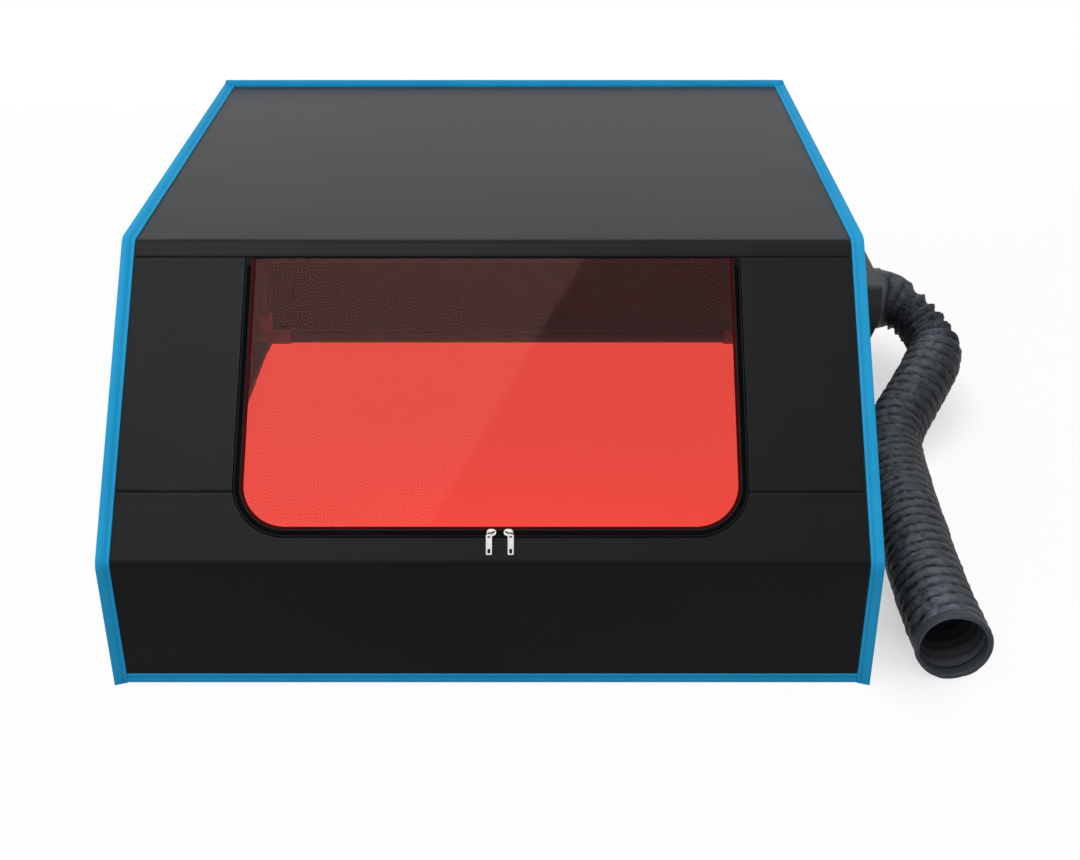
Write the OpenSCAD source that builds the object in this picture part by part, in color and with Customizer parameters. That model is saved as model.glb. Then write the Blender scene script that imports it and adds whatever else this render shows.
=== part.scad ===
// Fabric safety enclosure for a laser engraver, on an inner tube frame, with a
// zipped viewing window, a side exhaust fan and a flexible hose.
// X runs to the right, Y to the back and Z up. The origin is the bottom of the
// front face on the centre line, at floor level. Sizes are in millimetres.

/* [Body] */
// width over the two side panels
body_w = 678; // [600:1:800]
// depth from the front face to the back face
body_d = 750; // [700:1:850]
// height of the roof
body_h = 352; // [320:1:420]
// height of the front skirt, where the slope starts
knee_h = 131; // [110:1:160]
// how far back the slope reaches before the roof
slope_run = 219; // [190:1:260]

/* [Fabric] */
// thickness of the coated fabric
fabric_t = 1.2; // [0.8:0.1:2]
// height of the coloured hem at the floor
hem_h = 10; // [8:1:14]
// thickness of the hem binding
hem_t = 0.6; // [0.4:0.1:0.8]
// how far the coloured seam binding stands out at the sides
fin_w = 11.4; // [8:0.1:14]
// thickness of the seam binding
fin_t = 2.6; // [1.6:0.1:3.2]
// how far the side binding leans outwards over its width
fin_lean = 3.8; // [0:0.1:5]
// height of the binding that stands up at the rear top edge
rear_fin_h = 8; // [5:0.5:12]
// distance up the slope from the knee to the lower seam
low_seam = 66.3; // [50:0.1:80]
// distance down the slope from the roof edge to the upper seam
high_seam_gap = 16.5; // [12:0.1:30]

/* [Window] */
// width of fabric left at each side of the window
stile_w = 105; // [80:1:140]
// distance up the slope from the knee to the bottom of the zip
window_low = 24; // [16:1:40]
// outer corner radius of the zip
window_r = 50; // [35:1:60]
// width of each zip tape
tape_w = 4.4; // [4:0.1:5]
// gap between the two zip coils
zip_gap = 0.4; // [0.3:0.1:0.6]
// width of each zip coil
coil_w = 1.6; // [1.2:0.1:1.8]
// thickness of the window film
film_t = 0.8; // [0.5:0.1:1]

/* [Zip pulls] */
// length of a slider along the zip
slider_l = 8.4; // [8:0.1:12]
// width of a slider across the zip
slider_w = 6.2; // [6:0.1:9]
// width of a pull tab
tab_w = 5.4; // [5:0.1:8]
// length of a pull tab from its pin to its tip
tab_l = 20.5; // [18:0.5:24]

/* [Frame] */
// outer diameter of the frame tubes
tube_d = 16; // [14:0.5:19]
// wall of the frame tubes
tube_wall = 0.8; // [0.6:0.1:1.2]
// wall of the plastic connectors
conn_wall = 1.9; // [1.6:0.1:2.5]
// length of a connector arm from the middle of its hub
conn_arm = 34; // [28:1:42]

/* [Exhaust] */
// side length of the square axial fan
fan_size = 120; // [92:1:120]
// thickness of the fan
fan_t = 25; // [20:1:32]
// fan axis, distance from the rear edge
fan_back = 152; // [130:1:190]
// height of the fan axis above the floor
fan_z = 108; // [90:1:130]
// wall of the fan housing
hood_wall = 1.8; // [1.4:0.1:2.4]
// how far the housing stands out from the side panel
hood_out = 114; // [100:1:130]
// how far the outlet lies above the fan axis
outlet_up = 20; // [10:1:22]
// outer radius of the hose
hose_r = 36; // [34:0.5:38]
// number of fan blades
blades = 7; // [5:1:9]

/* [Cable outlet] */
// width of the cable outlet in the back
port_w = 110; // [80:1:140]
// height of the cable outlet in the back
port_h = 36; // [25:1:45]

/* [Hidden] */

$fn = 64;
half_w = body_w/2;
inner_w = half_w - fabric_t;
slope_rise = body_h - knee_h;
slope_a = atan2(slope_rise, slope_run);
slope_len = sqrt(slope_run*slope_run + slope_rise*slope_rise);
high_seam = slope_len - high_seam_gap;
seat = 0.3;
conn_d = tube_d + 2*conn_wall + 0.2;
// the fabric bends round the tubes, so its bends share their centres
inset = conn_d/2 + seat + fabric_t;
rear_r = 3;
rail_x = half_w - inset;
rear_y = body_d - inset;
top_z = body_h - inset;
low_z = conn_d/2;
knee_c = [inset, knee_h - inset*tan((90 - slope_a)/2)];
top_c = [slope_run + inset*tan(slope_a/2), top_z];
rear_c = [body_d - rear_r, body_h - rear_r];
rail_len = norm(top_c - knee_c);
bore_d = tube_d + 0.24;
hub_start = 1.2;
bore_start = tube_d/2 + 1.4;
tube_start = bore_start + seat;
rear_fin_y = rear_c.x - 2.5;
rear_fin_t = 2.4;
roof_seam = rear_fin_y + rear_fin_t/2;
half_window = half_w - stile_w;
flap_in = tape_w + zip_gap;
film_in = 6;
flap_top = high_seam - 1;
coil_h = 1;
coil_top = flap_top - 8;
zip_v = window_low + tape_w + zip_gap/2;
slider_n = coil_h + seat;
slider_t = 1.2;
pin_n = slider_n + slider_t + 1.95;
pin_r = 0.75;
eye_r = 1.75;
tab_t = 1;
tab_r = 0.9;
tab_neck = 2.4;
tab_rim = 1.3;
slot_w = 2.4;
slot_h = 1.3;
slot_at = 5.2;
hole_w = 2.5;
hole_h = 4;
eye_w = 2;
post_w = 0.6;
post_gap = eye_w + 0.2;
left_u = 1;
right_u = 16.25;
tab_shift = slider_l/4;
hood_s = fan_size + 2*hood_wall + 0.4;
hood_x = half_w + hood_out;
fan_y = body_d - fan_back;
out_z = fan_z + outlet_up;
spigot_r = hose_r - 3.5;
duct_r = spigot_r - 2.2;
spigot_l = 12;
screw_at = fan_size*0.4375;
screw_r = 2;
plate_t = 2;
guard_t = 1.6;
block_l = 14;
port_low = 24;
port_top = port_low + port_h;
cable_flap_t = 1.2;
// hose centre line and radius: x, y and z from the outlet, the hose squeezed
// narrower in its bend, and lying on the floor towards the front
hose_path = [
  [453, 598, 128, 36], [463, 597.8, 127.9, 36], [473, 596, 126.4, 34.8],
  [483, 592.6, 123.5, 33.6], [493, 587, 119.2, 32.8], [503.2, 579, 113.2, 32],
  [512.8, 567, 106.2, 32], [519.4, 552, 99.7, 32], [522.3, 535.5, 93.4, 32],
  [519.8, 518, 87.1, 32.5], [511.2, 500, 80.4, 33], [499, 480, 72.4, 33.3],
  [485.5, 458.5, 63.9, 33.3], [472, 438, 56.2, 33.3], [459.8, 418, 49.2, 33.3],
  [450.4, 397, 43.3, 33.5], [444.8, 375, 38.8, 34], [441.4, 350, 36, 35],
  [438.2, 311, 35.3, 35.3], [435.4, 277, 35.5, 35.5], [432.5, 235, 35.8, 35.8],
  [429.8, 189, 36, 36], [427.7, 139, 36, 36], [426.4, 95, 36, 36],
  [426.1, 55, 36, 36], [426.5, 32, 36, 36], [427, 15, 36, 36]
];
// the same route moved with the outlet and widened with the hose
shift_x = hood_x - 453;
shift_y = fan_y - 598;
shift_z = out_z - 128;
hose_k = hose_r/36;
hose_pts = [for (p = hose_path) [
  p[0] + shift_x,
  p[1] + shift_y*min(1, max(0, (p[1] - 300)/200)),
  max(p[2] + shift_z*min(1, max(0, (p[2] - 40)/60)), p[3]) + (hose_k - 1)*p[3],
  p[3]*hose_k]];
hose_steps = 2;
hose_sides = 16;
hose_t = 2;

// ---- frames of reference ----
// flat shapes drawn in the side view, with Y across and Z up, made X wide
module across(x0, x1) {
  translate([x0, 0, 0])
    rotate([90, 0, 90])
      linear_extrude(x1 - x0)
        children();
}

// the slope's own plane in the side view: along it, and out of it
module slope_2d() {
  translate([0, knee_h])
    rotate(slope_a)
      children();
}

// the slope in space: to the right, up the slope, and out of it
module on_slope() {
  translate([0, 0, knee_h])
    rotate([slope_a, 0, 0])
      children();
}

// shapes drawn with Y across and Z up, at the fan's axis, made X long
module at_fan(x, len) {
  translate([x, fan_y, fan_z])
    rotate([90, 0, 90])
      linear_extrude(len)
        children();
}

module mirrored(side) {
  if (side < 0) mirror([1, 0, 0]) children();
  else children();
}

// ---- fabric shell ----
module outline(i, low) {
  r = inset - i;
  out = [-sin(slope_a), cos(slope_a)];
  polygon([
    [i, low], [i, knee_c.y], knee_c + r*out, top_c + r*out,
    [top_c.x, body_h - i], [rear_c.x, body_h - i],
    [body_d - i, rear_c.y], [body_d - i, low]]);
  translate(knee_c) circle(r, $fn = 96);
  translate(top_c) circle(r, $fn = 96);
  translate(rear_c) circle(rear_r - i);
}

module band() {
  difference() {
    outline(0, hem_t);
    outline(fabric_t, -1);
  }
}

module window_2d(i, top) {
  r = window_r - i;
  w = half_window - i;
  low = window_low + i;
  translate([-w, low + r]) square([2*w, top - low - r]);
  translate([-w + r, low]) square([2*(w - r), r]);
  translate([-w + r, low + r]) circle(r, $fn = 96);
  translate([w - r, low + r]) circle(r, $fn = 96);
}

module zip_ring(i0, i1, top) {
  difference() {
    window_2d(i0, top);
    window_2d(i1, top + 1);
  }
}

module window_cut() {
  on_slope()
    translate([0, 0, -5])
      linear_extrude(10)
        window_2d(0, high_seam + 0.001);
}

module front_apron() {
  color([0.09, 0.1, 0.1])
    difference() {
      across(-inner_w, inner_w)
        intersection() {
          band();
          union() {
            translate([-1, -1]) square([inset + 1, knee_h - 10]);
            slope_2d() translate([-40, -inset]) square([40 + low_seam, inset + 5]);
          }
        }
      window_cut();
    }
}

module stile(side) {
  color([0.15, 0.15, 0.15])
    mirrored(side)
      difference() {
        on_slope()
          translate([half_window - 10, low_seam, -fabric_t])
            cube([inner_w - half_window + 10, high_seam - low_seam, fabric_t]);
        window_cut();
      }
}

module left_stile() { stile(-1); }
module right_stile() { stile(1); }

module roof_panel() {
  color([0.35, 0.36, 0.37])
    across(-inner_w, inner_w)
      intersection() {
        band();
        union() {
          slope_2d() translate([high_seam, -inset]) square([high_seam_gap + 8, inset + 5]);
          translate([slope_run, top_z]) square([roof_seam - slope_run, inset + 1]);
        }
      }
}

module rear_panel() {
  color([0.1, 0.1, 0.11])
    difference() {
      across(-inner_w, inner_w)
        intersection() {
          band();
          translate([roof_seam, -1]) square([body_d, body_h + 2]);
        }
      translate([-port_w/2, body_d - 5, port_low]) cube([port_w, 10, port_h]);
    }
}

module side_panel() {
  across(inner_w, half_w) outline(0, hem_t);
}

module left_side_panel() {
  color([0.1, 0.1, 0.11]) mirrored(-1) side_panel();
}

module fan_holes(x, len, r) {
  for (y = [-1, 1], z = [-1, 1])
    at_fan(x, len) translate([y*screw_at, z*screw_at]) circle(r, $fn = 32);
}

module right_side_panel() {
  color([0.1, 0.1, 0.11])
    difference() {
      side_panel();
      at_fan(inner_w - 1, fabric_t + 2) circle(fan_size*0.46, $fn = 96);
      fan_holes(inner_w - 1, fabric_t + 2, screw_r + 0.15);
    }
}

// ---- coloured bindings and hems ----
// section of the seam binding: x outwards to the side, y out of the surface
module fin_section() {
  polygon([
    [0, -fin_t + 1.2], [0, 1.2],
    [fin_w, 1.2 + fin_lean], [fin_w, 1.2 + fin_lean - fin_t]]);
}

// the section turned to run round a bend of radius r
module fin_bend(c, r, from, sweep) {
  translate([half_w, c.x, c.y])
    rotate([90, 0, 90])
      rotate(from)
        rotate_extrude(angle = sweep, $fn = 96)
          translate([r, 0]) rotate(90) mirror([0, 1]) fin_section();
}

module fin_straight(v0, v1) {
  translate([half_w, v1, 0])
    rotate([90, 0, 0])
      linear_extrude(v1 - v0)
        fin_section();
}

module side_binding() {
  knee_t = inset*tan((90 - slope_a)/2);
  top_t = inset*tan(slope_a/2);
  rotate([90, 0, 0]) fin_straight(0, knee_c.y);
  on_slope() fin_straight(knee_t, slope_len - top_t);
  translate([0, 0, body_h]) fin_straight(top_c.x, rear_c.x);
  translate([0, body_d, 0]) rotate([-90, 0, 0]) fin_straight(-rear_c.y, 0);
  fin_bend(knee_c, inset, 90 + slope_a, 90 - slope_a);
  fin_bend(top_c, inset, 90, slope_a);
  fin_bend(rear_c, rear_r, 0, 90);
}

module left_binding() {
  color([0.15, 0.55, 0.75]) mirrored(-1) side_binding();
}

module right_binding() {
  color([0.15, 0.55, 0.75]) side_binding();
}

module rear_top_binding() {
  w = half_w - 0.4;
  out = half_w + fin_w;
  lift = 1.2 + seat;
  color([0.15, 0.55, 0.75])
    translate([0, rear_fin_y + rear_fin_t, body_h])
      rotate([90, 0, 0])
        linear_extrude(rear_fin_t)
          polygon([
            [-w, 0], [w, 0], [w, lift], [out, lift + fin_lean],
            [out - 1.6, rear_fin_h], [1.6 - out, rear_fin_h],
            [-out, lift + fin_lean], [-w, lift]]);
}

// the hem folds under the fabric's edge, with a shorter leg inside
module hem_section() {
  translate([-hem_t, 0]) square([hem_t, hem_h]);
  translate([-hem_t, 0]) square([fabric_t + 2*hem_t, hem_t]);
  translate([fabric_t, 0]) square([hem_t, hem_h*0.6]);
}

module cross_hem() {
  w = inner_w - 2*hem_t;
  across(-w, w) hem_section();
  across(0.1 - half_w, half_w - 0.1) translate([-hem_t, 0]) square([hem_t, hem_h]);
}

module front_hem() {
  color([0.12, 0.5, 0.7]) cross_hem();
}

module rear_hem() {
  color([0.12, 0.5, 0.7])
    translate([0, body_d, 0]) mirror([0, 1, 0]) cross_hem();
}

module side_hem() {
  gap = fin_t - 1.2 + seat;
  translate([half_w, body_d - gap, 0])
    rotate([90, 0, 0])
      linear_extrude(body_d - 2*gap)
        mirror([1, 0]) hem_section();
}

module left_hem() {
  color([0.12, 0.5, 0.7]) mirrored(-1) side_hem();
}

module right_hem() {
  color([0.12, 0.5, 0.7]) side_hem();
}

// ---- zip and window ----
module cover_zip() {
  color([0.12, 0.12, 0.13])
    on_slope() {
      translate([0, 0, -fabric_t])
        linear_extrude(fabric_t)
          zip_ring(0, tape_w, high_seam);
      linear_extrude(coil_h)
        zip_ring(tape_w - coil_w, tape_w, coil_top);
    }
}

module flap_zip() {
  color([0.12, 0.12, 0.13])
    on_slope() {
      translate([0, 0, -film_t])
        linear_extrude(film_t)
          zip_ring(flap_in, flap_in + tape_w + 0.3, flap_top);
      linear_extrude(coil_h)
        zip_ring(flap_in, flap_in + coil_w, coil_top);
    }
}

module window_film() {
  color([0.9, 0.25, 0.22, 0.6])
    on_slope()
      translate([0, 0, -2*film_t])
        linear_extrude(film_t)
          window_2d(film_in, flap_top);
}

module slider_plate() {
  r = slider_w/2;
  s = slider_l/2 - r;
  translate([-s, -r]) square([2*s, slider_w]);
  translate([-s, 0]) circle(r, $fn = 48);
  translate([s, 0]) circle(r, $fn = 48);
}

// the pin that carries the tab lies off the slider's middle
module slider() {
  shift = -tab_shift;
  translate([0, 0, slider_n]) linear_extrude(slider_t) slider_plate();
  for (s = [-1, 1])
    translate([-2, s*(slider_w/2 - 0.5) - 0.4, 0.2])
      cube([4, 0.8, slider_n - 0.2]);
  for (s = [-1, 1])
    translate([shift + s*(post_gap + post_w)/2 - post_w/2, -1.1, slider_n + slider_t])
      cube([post_w, 2.2, 2.7]);
  translate([shift - post_gap/2, 0, pin_n])
    rotate([0, 90, 0])
      cylinder(h = post_gap, r = pin_r, $fn = 32);
}

module left_slider() {
  color([0.85, 0.84, 0.83])
    on_slope() translate([left_u, zip_v, 0]) slider();
}

module right_slider() {
  color([0.85, 0.84, 0.83])
    on_slope() translate([right_u, zip_v, 0]) mirror([1, 0, 0]) slider();
}

module tab_outline() {
  w = tab_w/2;
  body = tab_l - tab_neck;
  translate([-eye_w/2, -tab_neck - 1]) square([eye_w, tab_neck + 1]);
  translate([-w + tab_r, -tab_l]) square([tab_w - 2*tab_r, body]);
  translate([-w, -tab_l + tab_r]) square([tab_w, body - 2*tab_r]);
  for (x = [-w + tab_r, w - tab_r], y = [-tab_l + tab_r, -tab_neck - tab_r])
    translate([x, y]) circle(tab_r, $fn = 32);
}

// the tab hangs from its pin with its tip near the fabric
module pull_tab(u) {
  on_slope()
    translate([u, zip_v, pin_n])
      rotate([10, 0, 0])
        difference() {
          union() {
            translate([0, 0, -tab_t/2]) linear_extrude(tab_t) tab_outline();
            translate([-eye_w/2, 0, 0])
              rotate([0, 90, 0])
                cylinder(h = eye_w, r = eye_r, $fn = 32);
          }
          translate([-eye_w, 0, 0])
            rotate([0, 90, 0])
              cylinder(h = 2*eye_w, r = pin_r + 0.08, $fn = 32);
          translate([-slot_w/2, -slot_at, -tab_t]) cube([slot_w, slot_h, 2*tab_t]);
          translate([-hole_w/2, -tab_l + tab_rim, -tab_t]) cube([hole_w, hole_h, 2*tab_t]);
        }
}

module left_pull_tab() {
  color([0.85, 0.84, 0.83]) pull_tab(left_u - tab_shift);
}

module right_pull_tab() {
  color([0.85, 0.84, 0.83]) pull_tab(right_u + tab_shift);
}

// ---- tube frame ----
module tube(at, turn, len) {
  color([0.2, 0.2, 0.21])
    translate(at)
      rotate(turn)
        translate([0, 0, tube_start])
          difference() {
            cylinder(h = len - 2*tube_start, d = tube_d, $fn = 48);
            translate([0, 0, -1])
              cylinder(h = len - 2*tube_start + 2, d = tube_d - 2*tube_wall, $fn = 48);
          }
}

to_left = [0, -90, 0];
to_right = [0, 90, 0];
to_back = [-90, 0, 0];
to_front = [90, 0, 0];
up = [0, 0, 0];
down = [180, 0, 0];
up_slope = [slope_a - 90, 0, 0];
down_slope = [slope_a + 90, 0, 0];

module connector(at, turns) {
  color([0.85, 0.85, 0.84])
    translate(at)
      difference() {
        union() {
          sphere(d = conn_d + 0.2, $fn = 48);
          for (t = turns)
            rotate(t)
              translate([0, 0, hub_start])
                cylinder(h = conn_arm - hub_start, d = conn_d, $fn = 48);
        }
        for (t = turns)
          rotate(t)
            translate([0, 0, bore_start])
              cylinder(h = conn_arm, d = bore_d, $fn = 48);
      }
}

module left_bottom_tube() { tube([-rail_x, inset, low_z], to_back, rear_y - inset); }
module right_bottom_tube() { tube([rail_x, inset, low_z], to_back, rear_y - inset); }
module left_rear_post() { tube([-rail_x, rear_y, low_z], up, top_z - low_z); }
module right_rear_post() { tube([rail_x, rear_y, low_z], up, top_z - low_z); }
module left_roof_rail() { tube([-rail_x, top_c.x, top_z], to_back, rear_y - top_c.x); }
module right_roof_rail() { tube([rail_x, top_c.x, top_z], to_back, rear_y - top_c.x); }
module left_slope_rail() { tube([-rail_x, knee_c.x, knee_c.y], up_slope, rail_len); }
module right_slope_rail() { tube([rail_x, knee_c.x, knee_c.y], up_slope, rail_len); }
module left_front_post() { tube([-rail_x, inset, low_z], up, knee_c.y - low_z); }
module right_front_post() { tube([rail_x, inset, low_z], up, knee_c.y - low_z); }
module rear_bottom_bar() { tube([-rail_x, rear_y, low_z], to_right, 2*rail_x); }
module rear_top_bar() { tube([-rail_x, rear_y, top_z], to_right, 2*rail_x); }
module front_top_bar() { tube([-rail_x, top_c.x, top_z], to_right, 2*rail_x); }
module knee_bar() { tube([-rail_x, knee_c.x, knee_c.y], to_right, 2*rail_x); }
module front_bottom_bar() { tube([-rail_x, inset, low_z], to_right, 2*rail_x); }

module rear_bottom_connector() {
  connector([rail_x, rear_y, low_z], [to_left, to_front, up]);
}
module rear_top_connector() {
  connector([rail_x, rear_y, top_z], [to_left, to_front, down]);
}
module front_top_connector() {
  connector([rail_x, top_c.x, top_z], [to_left, to_back, down_slope]);
}
module knee_connector() {
  connector([rail_x, knee_c.x, knee_c.y], [to_left, up_slope, down]);
}
module front_bottom_connector() {
  connector([rail_x, inset, low_z], [to_left, to_back, up]);
}

module left_rear_bottom_connector() { mirrored(-1) rear_bottom_connector(); }
module right_rear_bottom_connector() { rear_bottom_connector(); }
module left_rear_top_connector() { mirrored(-1) rear_top_connector(); }
module right_rear_top_connector() { rear_top_connector(); }
module left_front_top_connector() { mirrored(-1) front_top_connector(); }
module right_front_top_connector() { front_top_connector(); }
module left_knee_connector() { mirrored(-1) knee_connector(); }
module right_knee_connector() { knee_connector(); }
module left_front_bottom_connector() { mirrored(-1) front_bottom_connector(); }
module right_front_bottom_connector() { front_bottom_connector(); }

// ---- exhaust ----
module rounded_square(s, r) {
  translate([-s/2 + r, -s/2]) square([s - 2*r, s]);
  translate([-s/2, -s/2 + r]) square([s, s - 2*r]);
  for (y = [-1, 1], z = [-1, 1])
    translate([y*(s/2 - r), z*(s/2 - r)]) circle(r, $fn = 32);
}

// the housing seen from the front: a level top, and an underside that
// slants up to the outlet
module hood_profile(i) {
  low = fan_z - hood_s/2 + i;
  high = fan_z + hood_s/2 - i;
  x0 = half_w - (i > 0 ? 1 : 0);
  polygon([
    [x0, low], [hood_x - 28, low],
    [hood_x - i, out_z - 4 + i/2], [hood_x - i, high], [x0, high]]);
}

module hood_form(i, r) {
  intersection() {
    translate([0, fan_y + hood_s/2, 0])
      rotate([90, 0, 0])
        linear_extrude(hood_s)
          hood_profile(i);
    at_fan(half_w - 1, hood_out + 2) rounded_square(hood_s - 2*i, r);
  }
}

module at_outlet(x, len, r) {
  translate([x, fan_y, out_z])
    rotate([0, 90, 0])
      cylinder(h = len, r = r, $fn = 96);
}

module exhaust_housing() {
  frame_in = hood_s/2 - hood_wall;
  step = frame_in - screw_at + 5;
  color([0.2, 0.2, 0.21])
    difference() {
      union() {
        difference() {
          union() {
            hood_form(0, 5);
            at_outlet(hood_x - 24, 24, hose_r + 3);
            at_outlet(hood_x - 24, 24 + spigot_l, spigot_r);
          }
          difference() {
            hood_form(hood_wall, 3);
            at_outlet(hood_x - 24, 30, hose_r + 3);
          }
        }
        for (y = [-1, 1], z = [-1, 1])
          at_fan(half_w + fan_t + 0.2, block_l)
            translate([y*(frame_in - step/2), z*(frame_in - step/2)])
              square(step, center = true);
      }
      at_outlet(hood_x - 40, 60, duct_r);
      fan_holes(half_w + fan_t, block_l - 2, screw_r + 0.05);
      translate([hood_x - 53, fan_y + hood_s/2 - 5, fan_z - 38])
        rotate([-90, 0, 0])
          cylinder(h = 10, r = 4.2, $fn = 48);
    }
}

module fan_frame() {
  hub = fan_size*0.175;
  bore = fan_size*0.483;
  color([0.1, 0.1, 0.1])
    difference() {
      union() {
        difference() {
          at_fan(half_w, fan_t) rounded_square(fan_size, 4);
          at_fan(half_w - 1, fan_t + 2) circle(bore, $fn = 96);
        }
        at_fan(half_w + fan_t - 3.5, 3.5) circle(hub, $fn = 64);
        for (a = [45:90:315])
          translate([half_w + fan_t - 3.5, fan_y, fan_z])
            rotate([a, 0, 0])
              translate([0, hub - 2, -2])
                cube([3, bore - hub + 4, 4]);
      }
      fan_holes(half_w - 1, fan_t + 2, screw_r + 0.15);
      at_fan(half_w + fan_t - 4, 5) circle(3.08, $fn = 48);
    }
}

// set back from both faces of its frame, with flat pitched blades
module fan_rotor() {
  hub = fan_size*0.175;
  tip = fan_size*0.47;
  deep = fan_t - 6;
  x0 = half_w + 1.5;
  color([0.12, 0.12, 0.12]) {
    at_fan(x0, deep) circle(hub, $fn = 64);
    at_fan(x0 + deep - 0.5, 4) circle(3, $fn = 48);
    intersection() {
      at_fan(x0, deep)
        difference() {
          circle(tip, $fn = 96);
          circle(hub - 1, $fn = 64);
        }
      translate([x0 + deep/2, fan_y, fan_z])
        for (i = [0:blades - 1])
          rotate([i*360/blades, 0, 0])
            rotate([0, 0, 52])
              translate([-30, -1, -1])
                cube([60, 2, tip + 5]);
    }
  }
}

module finger_guard() {
  color([0.6, 0.6, 0.62])
    at_fan(inner_w - plate_t - guard_t, guard_t)
      difference() {
        union() {
          for (r = [0.14, 0.24, 0.34, 0.44])
            difference() {
              circle(r*fan_size + 1, $fn = 72);
              circle(r*fan_size - 1, $fn = 72);
            }
          for (a = [45:90:315])
            rotate(a)
              translate([0.14*fan_size, -1])
                square([screw_at*sqrt(2) - 0.14*fan_size, 2]);
          for (y = [-1, 1], z = [-1, 1])
            translate([y*screw_at, z*screw_at]) circle(4.2, $fn = 32);
        }
        for (y = [-1, 1], z = [-1, 1])
          translate([y*screw_at, z*screw_at]) circle(screw_r + 0.15, $fn = 32);
      }
}

module clamp_plate() {
  color([0.12, 0.12, 0.12])
    difference() {
      at_fan(inner_w - plate_t, plate_t) rounded_square(fan_size, 4);
      at_fan(inner_w - plate_t - 1, plate_t + 2) circle(fan_size*0.475, $fn = 96);
      fan_holes(inner_w - plate_t - 1, plate_t + 2, screw_r + 0.15);
    }
}

module fan_screws() {
  head_x = inner_w - plate_t - guard_t;
  color([0.7, 0.7, 0.72]) {
    fan_holes(head_x - 2.4, 2.4, 3.8);
    fan_holes(head_x - 0.5, half_w + fan_t + block_l - 3 - head_x, screw_r);
  }
}

module power_inlet() {
  color([0.08, 0.08, 0.08])
    translate([hood_x - 53, fan_y + hood_s/2, fan_z - 38])
      rotate([-90, 0, 0]) {
        difference() {
          union() {
            cylinder(h = 2, r = 6, $fn = 48);
            translate([0, 0, -12]) cylinder(h = 13, r = 4.1, $fn = 48);
          }
          translate([0, 0, -9]) cylinder(h = 12, r = 2.75, $fn = 48);
        }
        translate([0, 0, -9.5]) cylinder(h = 9, r = 1.05, $fn = 24);
      }
}

// ---- hose ----
function blend(a, b, c, d, t) =
  0.5*(2*b + (c - a)*t + (2*a - 5*b + 4*c - d)*t*t + (3*b - a - 3*c + d)*t*t*t);

function path_at(p, i) = i < 0 ? 2*p[0] - p[1]
  : i >= len(p) ? 2*p[len(p) - 1] - p[len(p) - 2] : p[i];

function smooth(p, n) = concat(
  [for (i = [0:len(p) - 2], k = [0:n - 1])
    blend(path_at(p, i - 1), p[i], p[i + 1], path_at(p, i + 2), k/n)],
  [p[len(p) - 1]]);

function xyz(p) = [p[0], p[1], p[2]];

function unit(v) = v/norm(v);

function heading(c, i) = i == 0 ? [1, 0, 0]
  : i == len(c) - 1 ? [0, -1, 0]
  : unit(xyz(c[i + 1]) - xyz(c[i - 1]));

function ring(c, i, thin) =
  let (t = heading(c, i), s = unit(cross(t, [0, 0, 1])), u = cross(s, t), r = c[i][3] - thin)
  [for (k = [0:hose_sides - 1])
    xyz(c[i]) + r*(cos((k + 0.5)*360/hose_sides)*s + sin((k + 0.5)*360/hose_sides)*u)];

module hose() {
  c = smooth(hose_pts, hose_steps);
  n = len(c);
  m = hose_sides;
  points = concat(
    [for (i = [0:n - 1]) each ring(c, i, 0)],
    [for (i = [0:n - 1]) each ring(c, i, hose_t)]);
  b = n*m;
  outer = [for (i = [0:n - 2], k = [0:m - 1])
    [i*m + k, (i + 1)*m + k, (i + 1)*m + (k + 1)%m, i*m + (k + 1)%m]];
  inner = [for (f = outer) [f[3] + b, f[2] + b, f[1] + b, f[0] + b]];
  start = [for (k = [0:m - 1]) [k, (k + 1)%m, b + (k + 1)%m, b + k]];
  last = (n - 1)*m;
  finish = [for (k = [0:m - 1])
    [last + (k + 1)%m, last + k, b + last + k, b + last + (k + 1)%m]];
  color([0.3, 0.31, 0.33])
    polyhedron(points, concat(outer, inner, start, finish), convexity = 8);
}

module hose_collar() {
  color([0.28, 0.29, 0.31])
    difference() {
      at_outlet(hood_x, spigot_l - 1, hose_r + 1.4);
      at_outlet(hood_x - 1, spigot_l, hose_r + 0.2);
    }
}

module hose_end_ring() {
  end = hose_pts[len(hose_pts) - 1];
  color([0.14, 0.16, 0.17])
    translate(xyz(end))
      rotate([90, 0, 0])
        difference() {
          cylinder(h = 12, r = hose_r, $fn = 96);
          translate([0, 0, -1]) cylinder(h = 14, r = hose_r - 2.8, $fn = 96);
        }
}

// ---- cable outlet ----
module cable_flap() {
  color([0.1, 0.1, 0.11])
    translate([-port_w/2 - 12, body_d + seat, port_low - 8])
      cube([port_w + 24, cable_flap_t, port_h + 14]);
}

left_bottom_tube();
right_bottom_tube();
left_rear_post();
right_rear_post();
left_roof_rail();
right_roof_rail();
left_slope_rail();
right_slope_rail();
left_front_post();
right_front_post();
rear_bottom_bar();
rear_top_bar();
front_top_bar();
knee_bar();
front_bottom_bar();
left_rear_bottom_connector();
right_rear_bottom_connector();
left_rear_top_connector();
right_rear_top_connector();
left_front_top_connector();
right_front_top_connector();
left_knee_connector();
right_knee_connector();
left_front_bottom_connector();
right_front_bottom_connector();
roof_panel();
rear_panel();
left_side_panel();
right_side_panel();
left_stile();
right_stile();
front_apron();
left_binding();
right_binding();
rear_top_binding();
front_hem();
rear_hem();
left_hem();
right_hem();
cover_zip();
flap_zip();
window_film();
left_slider();
right_slider();
left_pull_tab();
right_pull_tab();
exhaust_housing();
fan_frame();
fan_rotor();
finger_guard();
clamp_plate();
fan_screws();
power_inlet();
hose();
hose_collar();
hose_end_ring();
cable_flap();
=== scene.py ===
import math

import bpy
from mathutils import Matrix, Vector, noise


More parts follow.
